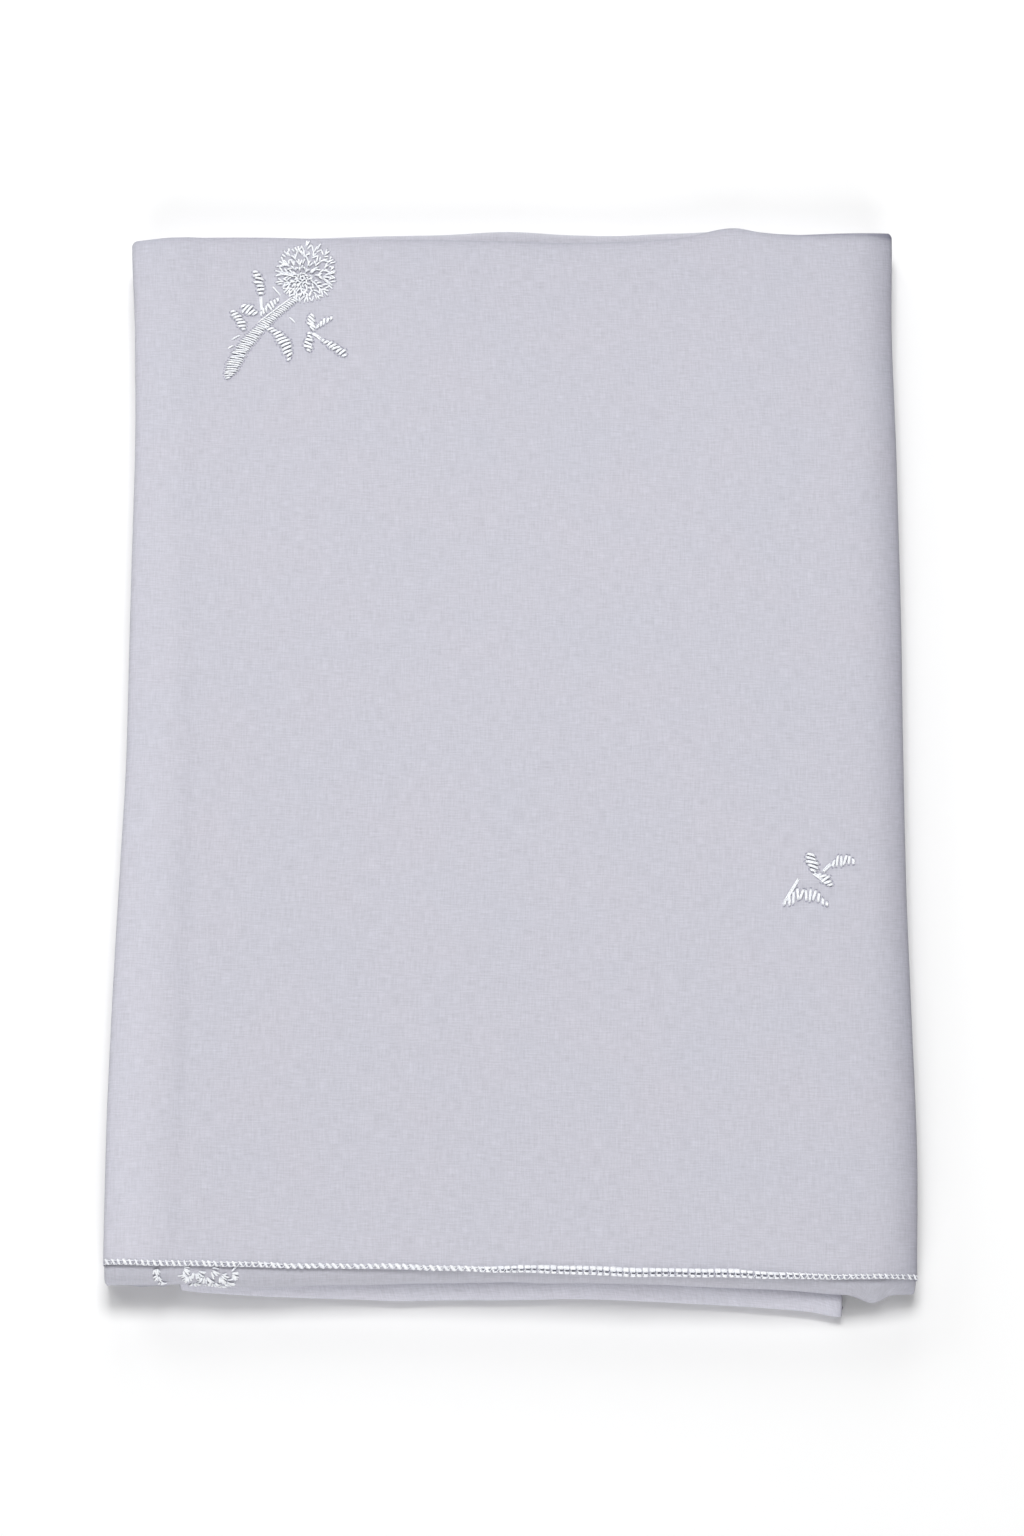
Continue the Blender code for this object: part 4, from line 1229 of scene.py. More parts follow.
@dataclass
class LowerFold:
    """The leaf round the lower bundle, which is also the flat underside."""

    columns: int = 130
    far_rows: int = 14
    under_rows: int = 58
    nose_rows: int = 22
    tuck_rows: int = 15
    lip_radius: float = 0.8
    lip_turn: float = 75.0
    lip_run: float = 0.1
    end_rise: float = 3.0
    end_length: float = 14.0
    tuck_start: float = 9.0
    tuck_end: float = 12.0
    return_length: float = 6.0
    nose_overlap: float = 0.1
    uneven_height: float = 0.12
    uneven_size: float = 30.0
    uneven_seed: int = 17
    flat_below: float = 0.5  # the underside stays flat up to here
    flat_from: float = 0.3
    flat_height: float = 2.0
    creases: tuple[Crease, ...] = (
        Crease((-104.0, 4.0), (-84.0, 12.0), -0.2, 1.8, 0.6),
        Crease((-62.0, 6.0), (-34.0, 10.0), 0.2, 2.0, 0.6),
        Crease((-40.0, 9.0), (-8.0, 13.0), -0.24, 1.8, -0.6),
        Crease((-6.0, 5.0), (22.0, 8.0), 0.26, 2.2, 0.6),
        Crease((14.0, 9.0), (46.0, 12.0), -0.22, 1.8, 0.6),
        Crease((52.0, 7.0), (88.0, 13.0), -0.28, 2.0, -0.8),
        Crease((84.0, 4.0), (108.0, 9.0), 0.22, 2.4, 0.6),
        Crease((92.0, 9.0), (112.0, 14.0), -0.26, 1.8, 0.5),
    )

    def rows(self, x: Array) -> tuple[Array, Array]:
        """Return y and z of the outer side: its far return, the underside, the near nose and its tuck."""
        front, far = FORM.lower.read("front", x), FORM.far.read("under", x)
        section = Section(x)
        for share in RETURN_SHARES[::-1]:
            section.add(far - RETURN_START - self.return_length * share, LOWER_TOP)
        section.add_nose(FORM.lower_far, 1.0, 0.0, self.far_rows)
        far_y, near_y = section.y[-1], FORM.lower_near(x, 1.0)[0] + self.nose_overlap
        for share in np.linspace(0.0, 1.0, self.under_rows + 2)[1:-1]:
            section.add(blend(far_y, near_y, share), 0.0)
        section.add_nose(FORM.lower_near, 1.0, 0.0, self.nose_rows)
        for share in np.linspace(0.0, 1.0, self.tuck_rows + 1)[1:]:
            section.add(blend(front + self.tuck_start, far - self.tuck_end, share), LOWER_TOP)
        return section.rows()

    def grid(self) -> Array:
        """Return the leaf's outer points, lips and creases and all."""
        across = np.linspace(0.0, 1.0, self.columns + 1)
        x = np.broadcast_to(blend(*SIDE_GUESSES, across), (1, self.columns + 1))
        for _ in range(SETTLING_ROUNDS):
            y, z = self.rows(x[0]) if len(x) == 1 else self.rows_at(x)
            left = FORM.under.read("left", y) + self.lip_radius
            x = blend(left, FORM.under.read("right", y) - self.lip_radius, across)
        grid = np.stack([x, y, z], axis=-1)
        from_end = arc_lengths(grid, 0)
        shoulder = from_end[len(RETURN_SHARES) + self.far_rows + self.under_rows + self.nose_rows - 1]
        uneven = self.uneven_height * swell(x, from_end, self.uneven_size, self.uneven_seed)
        lift = pressed(self.creases, x, shoulder - from_end) + uneven
        free = np.where(z < self.flat_below, 0.0, ease((z - self.flat_from) / self.flat_height))
        grid = grid + grid_normals(grid) * (lift * free)[:, :, None]
        grid[:, :, 2] = np.maximum(grid[:, :, 2], 0.0)
        from_front = np.maximum(y[:, -1] - FORM.lower.read("front", x[:, -1]), 0.0)
        run = self.lip_run + self.end_rise * np.exp(-((from_front / self.end_length) ** 2))
        turn = np.full(len(grid), math.radians(self.lip_turn))
        return with_lips(grid, self.lip_radius, turn, (np.full(len(grid), self.lip_run), run))

    def rows_at(self, x: Array) -> tuple[Array, Array]:
        """Return y and z where each row has columns of its own."""
        rows = [self.rows(row) for row in x]
        y = np.stack([pair[0][index] for index, pair in enumerate(rows)])
        return y, np.stack([pair[1][index] for index, pair in enumerate(rows)])

    def build(self) -> bpy.types.Object:
        """Make the leaf, dress it and return it."""
        grid = self.grid()
        piece = sheet_object("lower_fold_cloth", grid)
        x, y, _ = grid.reshape(-1, 3).T
        front = FORM.lower.read("front", x)
        # distances to the fold's edges, for the painted shade along them
        keep_at_points(piece, EDGE_DISTANCES, nose_gaps(grid, front, 0.0, FORM.under.read("right", y)))
        hand_over(piece, LOWER_PAINTED_LIGHT_COTTON, Slot.COTTON, ["lower_fold"])
        declare_leaf(piece, grid)
        return piece


@dataclass
class HiddenLeaves:
    """The layers inside one bundle: a single leaf folded to and fro between the pack's long sides.

    Attributes:
        name: The piece's name.
        lower: Whether it is the lower bundle.
        passes: How many times the leaf crosses the pack.
        seed: Which unevenness its folded edges have.
        nodes: The solids that it stands for.
        lies_on: What it lies on; it is not used.
    """

    name: str
    lower: bool
    passes: int
    seed: int
    nodes: tuple[str, ...]
    lies_on: str
    rows: int = 120
    turn_steps: int = 6
    pass_steps: int = 26
    guessed_half: float = 137.0
    lower_gaps: Place = (0.4, 0.1)  # the air under and over the lower bundle
    upper_gaps: Place = (0.2, 0.3)
    droop: float = 5.7
    droop_from: float = 120.0
    droop_width: float = 9.0
    droop_length: float = 22.0
    far_inset: float = 12.0
    tucked_back: float = 8.5
    tucked_bulge: float = 4.5
    ragged_front: float = -193.4
    ragged_depth: float = 0.9
    ragged_until: float = -119.0
    ragged_width: float = 8.0
    end_reach: float = 3.5
    first_reach: float = 2.2
    least_reach: float = 0.25
    far_back: float = 1.9
    far_rounding: float = 5.6
    turn_bulge: float = 0.55  # how far a fold bulges out, in pitches between the passes
    uneven_share: float = 0.14
    uneven_size: float = 34.0
    ragged_waves: Place = (9.0, 0.4)
    end_past: Place = (-1.6, 1.2)
    end_from: float = -176.0
    end_length: float = 30.0
    own_reach: Place = (0.5, 2.1)
    edge_waves: tuple[Place, Place] = ((0.4, 31.0), (0.25, 13.0))  # height and length of each
    curl: float = 0.25  # height of the waves in the near left corner
    curl_depth: float = 9.0
    curl_until: float = -104.0
    curl_width: float = 14.0
    curl_length: float = 4.2

    def span(self, x: Array, y: Array) -> tuple[Array, Array]:
        """Return the heights between which the leaf is folded, at each place."""
        if self.lower:
            under, over = self.lower_gaps
            return np.full_like(x, CLOTH + under), np.full_like(x, LOWER_TOP - CLOTH - over)
        under, over = self.upper_gaps
        share = np.clip((y - FORM.near.read("fold", x)) / self.droop_length, 0.0, 1.0)
        droop = self.droop * ease((x - self.droop_from) / self.droop_width) * (1.0 - share)
        fall = far_fall(FORM.far.read("second", x) - self.far_inset - y)
        top = FORM.base_height(x, y) - SECOND_DEPTH - CLOTH - over
        return UPPER_FOOT + under + CLOTH + ease(droop) - droop, top - fall

    def near_y(self, x: Array, level: Array) -> Array:
        """Return y of the layers' near edges; the lower ones come forward at the left corner."""
        line = FORM.lower.read("front", x) if self.lower else FORM.near.read("fold", x)
        tucked = line + self.tucked_back - self.tucked_bulge * (1.0 - (2.0 * level - 1.0) ** 2)
        if not self.lower:
            return tucked
        by_level, by_x = self.ragged_waves
        ragged = self.ragged_front + self.ragged_depth * np.sin(by_level * level + by_x * x)
        return blend(ragged, tucked, ease((x - self.ragged_until) / self.ragged_width))

    def edge_x(self, y: Array, side: Side, reach: Array) -> Array:
        """Return x of a folded edge that lies a reach inside the pack's side."""
        if side is Side.LEFT:
            return FORM.sides.read("left", y) + reach
        edge = FORM.sides.read("right", y)
        if self.lower:
            past = blend(*self.end_past, ease((y - self.end_from) / self.end_length))
            edge = np.minimum(edge, FORM.under.read("right", y) + past)
        return edge - reach

    def path(self) -> tuple[Array, Array, list[Side], Array]:
        """Return, for each point across the folded leaf, where it lies on its section.

        Returns:
            Share of the width, level between the passes, the side it lies near, and how far round a fold.
        """
        share, level, side, bend = [], [], [], []
        for number in range(self.passes):
            rightwards = number % 2 == 0
            steps = np.linspace(0.0, 1.0, self.pass_steps + 1)
            share += list(steps if rightwards else 1.0 - steps)
            level += [float(number)] * len(steps)
            side += [Side.LEFT if place < 0.5 else Side.RIGHT for place in share[-len(steps):]]
            bend += [0.0] * len(steps)
            if number < self.passes - 1:
                for step in range(1, self.turn_steps):
                    angle = math.pi * step / self.turn_steps
                    share.append(1.0 if rightwards else 0.0)
                    level.append(number + 0.5 - 0.5 * math.cos(angle))
                    side.append(Side.RIGHT if rightwards else Side.LEFT)
                    bend.append(math.sin(angle))
        return np.array(share), np.array(level), side, np.array(bend)

    def reaches(self, y: Array) -> Array:
        """Return how far in each crossing's folded edges lie, as passes of rows."""
        draw = np.random.default_rng(self.seed)
        rows = []
        for _ in range(self.passes + 1):
            phases = draw.uniform(0.0, TURN, 2)
            own = draw.uniform(*self.own_reach)
            waves = [high * np.sin(y / long + phase) for (high, long), phase in zip(self.edge_waves, phases)]
            rows.append(np.maximum(own + (waves[0] + waves[1]), self.least_reach))
        if self.lower:
            rows[0] = np.maximum(rows[0], self.first_reach)
        else:
            for outer in (0, 1, -2, -1):
                rows[outer] = np.maximum(rows[outer], self.end_reach)
        return np.stack(rows)

    def grid(self) -> Array:
        """Return the leaf's points, rows along the pack and columns to and fro across it."""
        share, level, sides, bend = self.path()
        along = np.linspace(0.0, 1.0, self.rows + 1)
        height = (level + 0.5) / self.passes
        x = np.broadcast_to(blend(-self.guessed_half, self.guessed_half, share), (self.rows + 1, len(share)))
        is_left = np.array([side is Side.LEFT for side in sides])
        fold = np.where(is_left, np.ceil(level / 2.0) * 2.0, np.floor(level / 2.0) * 2.0 + 1.0)
        back = self.far_back + self.far_rounding * (2.0 * height - 1.0) ** 4
        for _ in range(SETTLING_ROUNDS):
            near_y = self.near_y(x, height)
            y = blend(near_y, FORM.far.read("under", x) - back, along[:, None])
            reach = self.reaches(y[:, len(share) // 2])
            own = reach[np.clip(fold, 0, self.passes).astype(int)].T
            x = blend(self.edge_x(y, Side.LEFT, own), self.edge_x(y, Side.RIGHT, own), share)
        foot, head = self.span(x, y)
        pitch = (head - foot) / self.passes
        out = np.where(is_left, -1.0, 1.0) * (bend * self.turn_bulge * pitch)
        uneven = self.uneven_share * pitch * swell(x, y, self.uneven_size, self.seed)
        z = foot + (level + 0.5) * pitch + uneven
        if self.lower:
            near = np.exp(-(((y - near_y) / self.curl_depth) ** 2))
            left = ease((self.curl_until - x) / self.curl_width)
            z = z + self.curl * near * left * np.sin(x / self.curl_length + level)
        return np.stack([x + out, y, z], axis=-1)

    def build(self) -> bpy.types.Object:
        """Make the folded leaf, dress it and return it."""
        grid = self.grid()
        piece = sheet_object(self.name, grid, HIDDEN_CLOTH, 0.0)
        hand_over(piece, COTTON, Slot.COTTON, self.nodes)
        declare_leaf(piece, grid)
        return piece


# ---- the hem --------------------------------------------------------------------------------------


def joined(sets: Sequence[tuple[Array, ...]]) -> tuple[Array, ...]:
    """Return several sets of arrays as one, each kind joined end to end."""
    return tuple(np.concatenate(kind) for kind in zip(*sets))


@dataclass
class OverlockedHem:
    """The overlocking along the near edge: needle stitches, slanting loops, knots, and the roll they hold."""

    ends: Place = (-139.6, 136.4)  # where the first stitch starts, and where the last may
    roll_ends: Place = (-139.6, 138.6)
    roll_points: int = 260
    roll_width: float = 1.3
    roll_height: float = 0.66
    points: int = 11
    seed: int = 29
    jitter: float = 0.32
    needle_angle: float = 104.0
    needle_span: Place = (0.04, 0.98)
    knot_angle: float = 20.0
    knot_span: Place = (0.1, 0.8)
    knot_shift: float = 0.3
    loops: tuple[tuple[float, ...], ...] = (  # shift, first and last angle, way, fullness or 0 for the dash
        (0.0, 158.0, 6.0, 1.0, 0.0),
        (1.2, 150.0, 12.0, -1.0, 0.36),
        (0.0, -150.0, -6.0, 1.0, 0.55),
        (1.0, -150.0, -6.0, -1.0, 0.5),
    )
    wander: tuple[Place, Place] = ((0.18, 9.0), (0.1, 3.7))  # height and length of its line's waves
    sunk: float = 0.3  # how deep its middle lies, as a share of the cloth
    half_thick: Place = (0.22, 0.28)  # the least, and what each half width adds
    loop_lift: Place = (0.04, 0.2)
    row_lift: Place = (0.05, 0.16)
    row_rounding: float = 0.6
    roll_drop: Place = (0.25, 0.28)
    thread_width: float = 0.9
    thread_height: float = 0.62
    shape: Table = Table(
        ("x", "half", "roll", "pitch", "dash", "slant", "needle", "knot"),
        (
            (-141.0, 0.80, 4.0, 2.05, 1.00, 0.62, 0.34, 0.30),
            (-104.0, 0.82, 0.0, 2.10, 1.05, 0.66, 0.36, 0.30),
            (-88.0, 0.80, 2.0, 2.20, 0.95, 0.70, 0.60, 0.40),
            (-72.0, 0.62, 4.0, 2.40, 1.40, 0.85, 0.40, 0.40),
            (-20.0, 0.66, 8.0, 2.35, 1.30, 0.85, 0.70, 0.50),
            (4.0, 1.00, 14.0, 2.25, 0.30, 0.50, 1.90, 1.10),
            (30.0, 1.22, 16.0, 2.25, 0.24, 0.40, 2.30, 1.40),
            (72.0, 1.20, 14.0, 2.25, 0.28, 0.40, 2.10, 1.30),
            (92.0, 1.00, 6.0, 2.20, 0.60, 0.55, 1.20, 0.90),
            (112.0, 0.80, -2.0, 2.10, 0.74, 0.66, 0.50, 0.40),
            (141.0, 0.74, -8.0, 2.00, 0.64, 0.62, 0.26, 0.34),
        ),
    )

    def spot(self, x: Array, angle: Array) -> tuple[Array, Array]:
        """Return points on the hem's rounded section, and the ways they face.

        Args:
            x: Where along the hem.
            angle: How far round from its outer edge, in radians, positive over the top.

        Returns:
            The points and the outward directions.
        """
        half, tilt = self.shape.read("half", x), np.radians(self.shape.read("roll", x))
        y_middle = FORM.near.read("hem", x) + 0.5 * HEM_WIDTH
        for height, length in self.wander:
            y_middle = y_middle + height * np.sin(x / length)
        z_middle = FORM.leaf_height(x, y_middle) - self.sunk * CLOTH
        out_y, out_z = -np.cos(angle + tilt), np.sin(angle + tilt)
        least, added = self.half_thick
        y, z = y_middle + half * out_y, z_middle + (least + added * half) * out_z
        return np.stack([x, y, z], axis=-1), np.stack([np.zeros_like(x), out_y, out_z], axis=-1)

    def slanting(self, start: Array, first: float, last: float, way: float, jitter: Array) -> Stitches:
        """Return slanting threads round the edge, one for each start.

        Args:
            start: x where each sets out.
            first: Angle round the hem where it sets out, in degrees.
            last: Angle where it ends.
            way: 1 to run on along the hem, -1 to run back.
            jitter: A little unevenness for each thread.

        Returns:
            The threads' points and the ways they face.
        """
        share = np.linspace(0.0, 1.0, self.points)
        run = way * self.shape.read("pitch", start) * self.shape.read("slant", start) + jitter
        x = start[:, None] + run[:, None] * share
        angle = np.radians(blend(first, last, share))[None, :] + 0.0 * x
        spots, ups = self.spot(x, angle)
        low, high = self.loop_lift
        return spots + ups * (low + high * np.sin(math.pi * share))[None, :, None], ups

    def running(self, starts: Array, angle: float, share: Place) -> Stitches:
        """Return short threads along the hem at one angle round it.

        Args:
            starts: x where each stitch's space starts.
            angle: How far round the hem they lie, in degrees.
            share: Which part of the space each covers.

        Returns:
            The threads' points and the ways they face.
        """
        along = np.linspace(0.0, 1.0, self.points)
        x = starts[:, None] + self.shape.read("pitch", starts)[:, None] * blend(share[0], share[1], along)
        spots, ups = self.spot(x, np.full_like(x, math.radians(angle)))
        low, high = self.row_lift
        arc = np.sin(math.pi * along) ** self.row_rounding
        return spots + ups * (low + high * arc)[None, :, None], ups

    def roll(self) -> bpy.types.Object:
        """Make the rolled cloth edge inside the threads, dress it and return it."""
        x = np.linspace(*self.roll_ends, self.roll_points)
        line, _ = self.spot(x, np.full_like(x, math.radians(90.0)))
        least, added = self.roll_drop
        line[:, 2] -= least + added * self.shape.read("half", x)
        upwards = np.array((0.0, 0.0, 1.0))
        piece = strands_object("hem_roll", line[None], upwards, self.roll_width, self.roll_height)
        hand_over(piece, HEM_COTTON, Slot.COTTON, [])
        return piece

    def build(self) -> list[bpy.types.Object]:
        """Make the threads and the rolled edge they hold, and return them."""
        places = [self.ends[0]]
        while places[-1] < self.ends[1]:
            places.append(places[-1] + float(self.shape.read("pitch", places[-1])))
        starts = np.array(places)
        draw = np.random.default_rng(self.seed)
        jitter = draw.uniform(-self.jitter, self.jitter, (6, len(starts)))
        starts = starts + jitter[0] * 0.5
        uneven = 1.0 + jitter[1] * 0.6
        dash, needle, knot = (self.shape.read(name, starts) for name in ("dash", "needle", "knot"))
        loops = []
        for (shift, first, last, way, full), run in zip(self.loops, jitter[2:]):
            fullness = np.full_like(starts, full) if full else dash * uneven
            loops.append((*self.slanting(starts + shift, first, last, way, run), fullness))
        rows = [
            (*self.running(starts, self.needle_angle, self.needle_span), needle * uneven),
            (*self.running(starts + self.knot_shift, self.knot_angle, self.knot_span), knot * uneven[::-1]),
        ]
        pieces = [self.roll()]
        for name, sets in (("hem_loops", loops), ("hem_stitches", rows)):
            paths, ups, fullness = joined(sets)
            threads = strands_object(name, paths, ups, self.thread_width, self.thread_height, fullness)
            hand_over(threads, HEM_THREAD, Slot.HEM, ["hem"])
            pieces.append(threads)
        return pieces


# ---- the embroidery -------------------------------------------------------------------------------


def sew(name: str, sets: Sequence[Stitches], nodes: Sequence[str]) -> bpy.types.Object:
    """Make the satin threads of one piece, dress them and return them.

    Args:
        name: The piece's name.
        sets: The stitches' points and the ways they face, in sets.
        nodes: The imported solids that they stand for.

    Returns:
        The threads.
    """
    piece = strands_object(name, *joined(sets), THREAD_WIDTH, THREAD_HEIGHT)
    hand_over(piece, SATIN_THREAD, Slot.EMBROIDERY, nodes)
    return piece


def arched(starts: Array, ends: Array, rise: Array, surface: Callable, points: int = 9) -> Stitches:
    """Return stitches that arch over the cloth between pairs of places.

    Args:
        starts: Where each stitch comes up, on the cloth.
        ends: Where it goes down.
        rise: How high each arches at its middle.
        surface: Gives a point and its outward direction for places on the cloth.
        points: How many points a stitch has.

    Returns:
        The stitches' points and the ways they face.
    """
    share = np.linspace(0.0, 1.0, points)
    places = blend(starts[:, None, :], ends[:, None, :], share[None, :, None])
    spots, ups = surface(places[:, :, 0], places[:, :, 1])
    arc = np.sin(math.pi * share)[None, :] ** STITCH_ROUNDING
    arch = -STITCH_ROOT + (rise[:, None] + STITCH_ROOT) * arc
    return spots + ups * arch[:, :, None], ups


def on_top(x: Array, y: Array) -> Stitches:
    """Return points on the top leaf and the way they face."""
    return np.stack([x, y, FORM.leaf_height(x, y)], axis=-1), np.broadcast_to((0.0, 0.0, 1.0), (*x.shape, 3))


def on_fold(x: Array, around: Array) -> Stitches:
    """Return points on the upper fold's near nose and the way they face."""
    return on_nose(FORM.upper_near, x, around)


def on_lower_fold(x: Array, around: Array) -> Stitches:
    """Return points on the lower fold's near nose and the way they face."""
    return on_nose(FORM.lower_near, x, around)


def on_nose(nose: Callable, x: Array, around: Array) -> Stitches:
    """Return points on a near nose and the way they face.

    Args:
        nose: Gives y and z round the nose.
        x: Where along the pack.
        around: How far round the nose, from its top.

    Returns:
        The points and the outward directions.
    """
    y, z = nose(x, around)
    next_y, next_z = nose(x, around + 0.02)
    length = np.maximum(np.hypot(next_y - y, next_z - z), TINY)
    ups = np.stack([np.zeros_like(x), (next_z - z) / length, -(next_y - y) / length], axis=-1)
    return np.stack([x, y, z], axis=-1), ups


# where the painted shadow discs at the stitch ends go
SHADOW_SPOTS: list[Array] = []


def note_shadow_spots(starts: Array, ends: Array, spots: Callable, reach: float = 0.3) -> None:
    """Keep where the painted shadow spots go, at both ends of each stitch, a little past the thread.

    Args:
        starts: Where each stitch starts.
        ends: Where it ends.
        spots: Gives a point and its outward direction for places on the cloth.
        reach: How far past the stitch the spot lies.
    """
    run = ends - starts
    run = run / np.maximum(np.hypot(run[:, 0], run[:, 1]), TINY)[:, None]
    places = np.concatenate([starts - reach * run, ends + reach * run])
    points, _ = spots(places[:, 0], places[:, 1])
    SHADOW_SPOTS.append(points)


def turned(starts: Array, ends: Array, angle: Array) -> tuple[Array, Array]:
    """Return stitches turned about their middles by an angle each."""
    middle, half = 0.5 * (starts + ends), 0.5 * (ends - starts)
    cos, sin = np.cos(angle), np.sin(angle)
    half = np.stack([half[:, 0] * cos - half[:, 1] * sin, half[:, 0] * sin + half[:, 1] * cos], axis=-1)
    return middle - half, middle + half


@dataclass(frozen=True)
class SatinLeaf:
    """A small leaf of slanting satin stitches, ragged at its sides.

    Attributes:
        node: The solid that it stands for.
        base: Its stalk end.
        tip: Its tip.
        width: How wide it is.
        bend: How far its middle bends aside.
        slant: How far a stitch runs on towards the tip, as a share of the leaf's width.
        fullest: Where along it the leaf is widest, from 0.5 at its middle.
        stalk: Where its stalk starts, if it has one.
        pitch: How far apart its stitches lie, in pairs of threads.
    """

    node: str
    base: Place
    tip: Place
    width: float
    bend: float
    slant: float = 0.35
    fullest: float = 0.5
    stalk: Place | None = None
    pitch: float = 1.42
    end_width: float = 0.22
    rounding: float = 0.7
    reach: Place = (0.72, 1.28)
    pair_reach: float = 0.06
    turning: float = 0.24
    rise: Place = (0.46, 0.14)
    rise_range: Place = (-0.06, 0.12)

    def centre(self, share: Array) -> tuple[Array, Array, Array]:
        """Return points on the middle line, the way across it, and half the width there."""
        base, tip = np.array(self.base), np.array(self.tip)
        run = tip - base
        length = float(np.hypot(*run))
        aside = np.array((-run[1], run[0])) / length
        middle = base + run * share[:, None] + aside * (4.0 * self.bend * share * (1.0 - share))[:, None]
        power = math.log(0.5) / math.log(self.fullest)
        round_share = np.sin(math.pi * np.clip(share, 0.0, 1.0) ** power)
        full = np.maximum(round_share, 0.0) ** self.rounding
        return middle, aside, 0.5 * self.width * blend(self.end_width, 1.0, full)

    def build(self, number: int) -> bpy.types.Object:
        """Make the leaf's stitches, dress them and return them."""
        draw = np.random.default_rng(100 + number)
        length = math.dist(self.base, self.tip)
        bundles = max(4, round(length / self.pitch))
        bundle = np.repeat(np.arange(bundles), 2)
        apart = np.tile((-0.5, 0.5), bundles) * BUNDLE_GAP / self.pitch
        share = np.clip((bundle + 0.5 + apart) / bundles, 0.0, 1.0)
        middle, aside, half = self.centre(share)
        run = (np.array(self.tip) - np.array(self.base)) / length
        lean = self.slant * half[:, None] * run
        uneven = draw.uniform(*self.reach, (2, bundles))[:, bundle]
        uneven = uneven + draw.uniform(-self.pair_reach, self.pair_reach, (2, 2 * bundles))
        starts = middle - aside * (half * uneven[0])[:, None] - lean
        ends = middle + aside * (half * uneven[1])[:, None] + lean
        starts, ends = turned(starts, ends, draw.uniform(-self.turning, self.turning, bundles)[bundle])
        note_shadow_spots(starts, ends, on_top)
        least, added = self.rise
        rise = least + added * half + draw.uniform(*self.rise_range, bundles)[bundle]
        sets = [arched(starts, ends, rise, on_top)]
        if self.stalk is not None:
            sets.append(stalk_threads(self.stalk, self.base))
        return sew(self.node + "_stitches", sets, [self.node])


def stalk_threads(start: Place, end: Place, gap: float = 0.5) -> Stitches:
    """Return two long threads side by side between two places on the top leaf."""
    first, last = np.array(start), np.array(end)
    run = (last - first) / max(float(np.hypot(*(last - first))), TINY)
    aside = np.array((-run[1], run[0])) * 0.5 * gap
    firsts, lasts = np.stack([first - aside, first + aside]), np.stack([last - aside, last + 1.6 * aside])
    return arched(firsts, lasts, np.array((0.3, 0.34)), on_top)


LEAVES = (
    SatinLeaf("sprig_leaf_upright", (-92.0, 174.6), (-94.6, 184.8), 3.6, -0.7, 0.3, 0.5, (-91.6, 168.2)),
    SatinLeaf("sprig_leaf_left", (-93.4, 167.0), (-98.8, 170.8), 4.2, 0.3, 0.3, 0.56),
    SatinLeaf("sprig_leaf_low", (-97.8, 160.4), (-102.6, 168.6), 3.4, -0.4, 0.3, 0.5),
    SatinLeaf("sprig_leaf_stem", (-92.2, 166.6), (-85.2, 173.2), 3.0, 0.3, 0.5, 0.45),
    SatinLeaf("sprig_leaf_right", (-90.4, 162.2), (-81.2, 148.2), 4.4, 2.6, 0.2, 0.55),
    SatinLeaf("twig_leaf_upright", (-73.2, 160.6), (-73.0, 167.2), 3.2, 0.2, 0.9, 0.45),
    SatinLeaf("twig_leaf_down", (-73.6, 160.0), (-74.2, 151.8), 3.8, -0.3, 0.3, 0.55),
    SatinLeaf("twig_leaf_up", (-71.6, 161.8), (-65.4, 165.8), 2.2, 0.3, 0.7, 0.4),
    SatinLeaf("twig_leaf_right", (-69.6, 157.0), (-60.4, 150.2), 3.6, 0.2, 0.4, 0.6, (-73.2, 159.6)),
    SatinLeaf("branch_leaf_upright", (106.0, -48.8), (105.6, -41.4), 4.6, 0.2, 0.3, 0.5, (109.4, -51.6)),
    SatinLeaf("branch_leaf_right", (112.6, -45.4), (121.0, -44.6), 4.2, 0.9, 0.3, 0.42, (109.4, -48.6)),
    SatinLeaf("branch_leaf_small", (107.6, -49.2), (112.6, -53.8), 3.4, 0.2, 0.4, 0.5),
    SatinLeaf("branch_leaf_wing", (95.2, -60.8), (111.4, -61.2), 4.6, 4.0, 0.1, 0.4, (101.2, -50.6)),
)


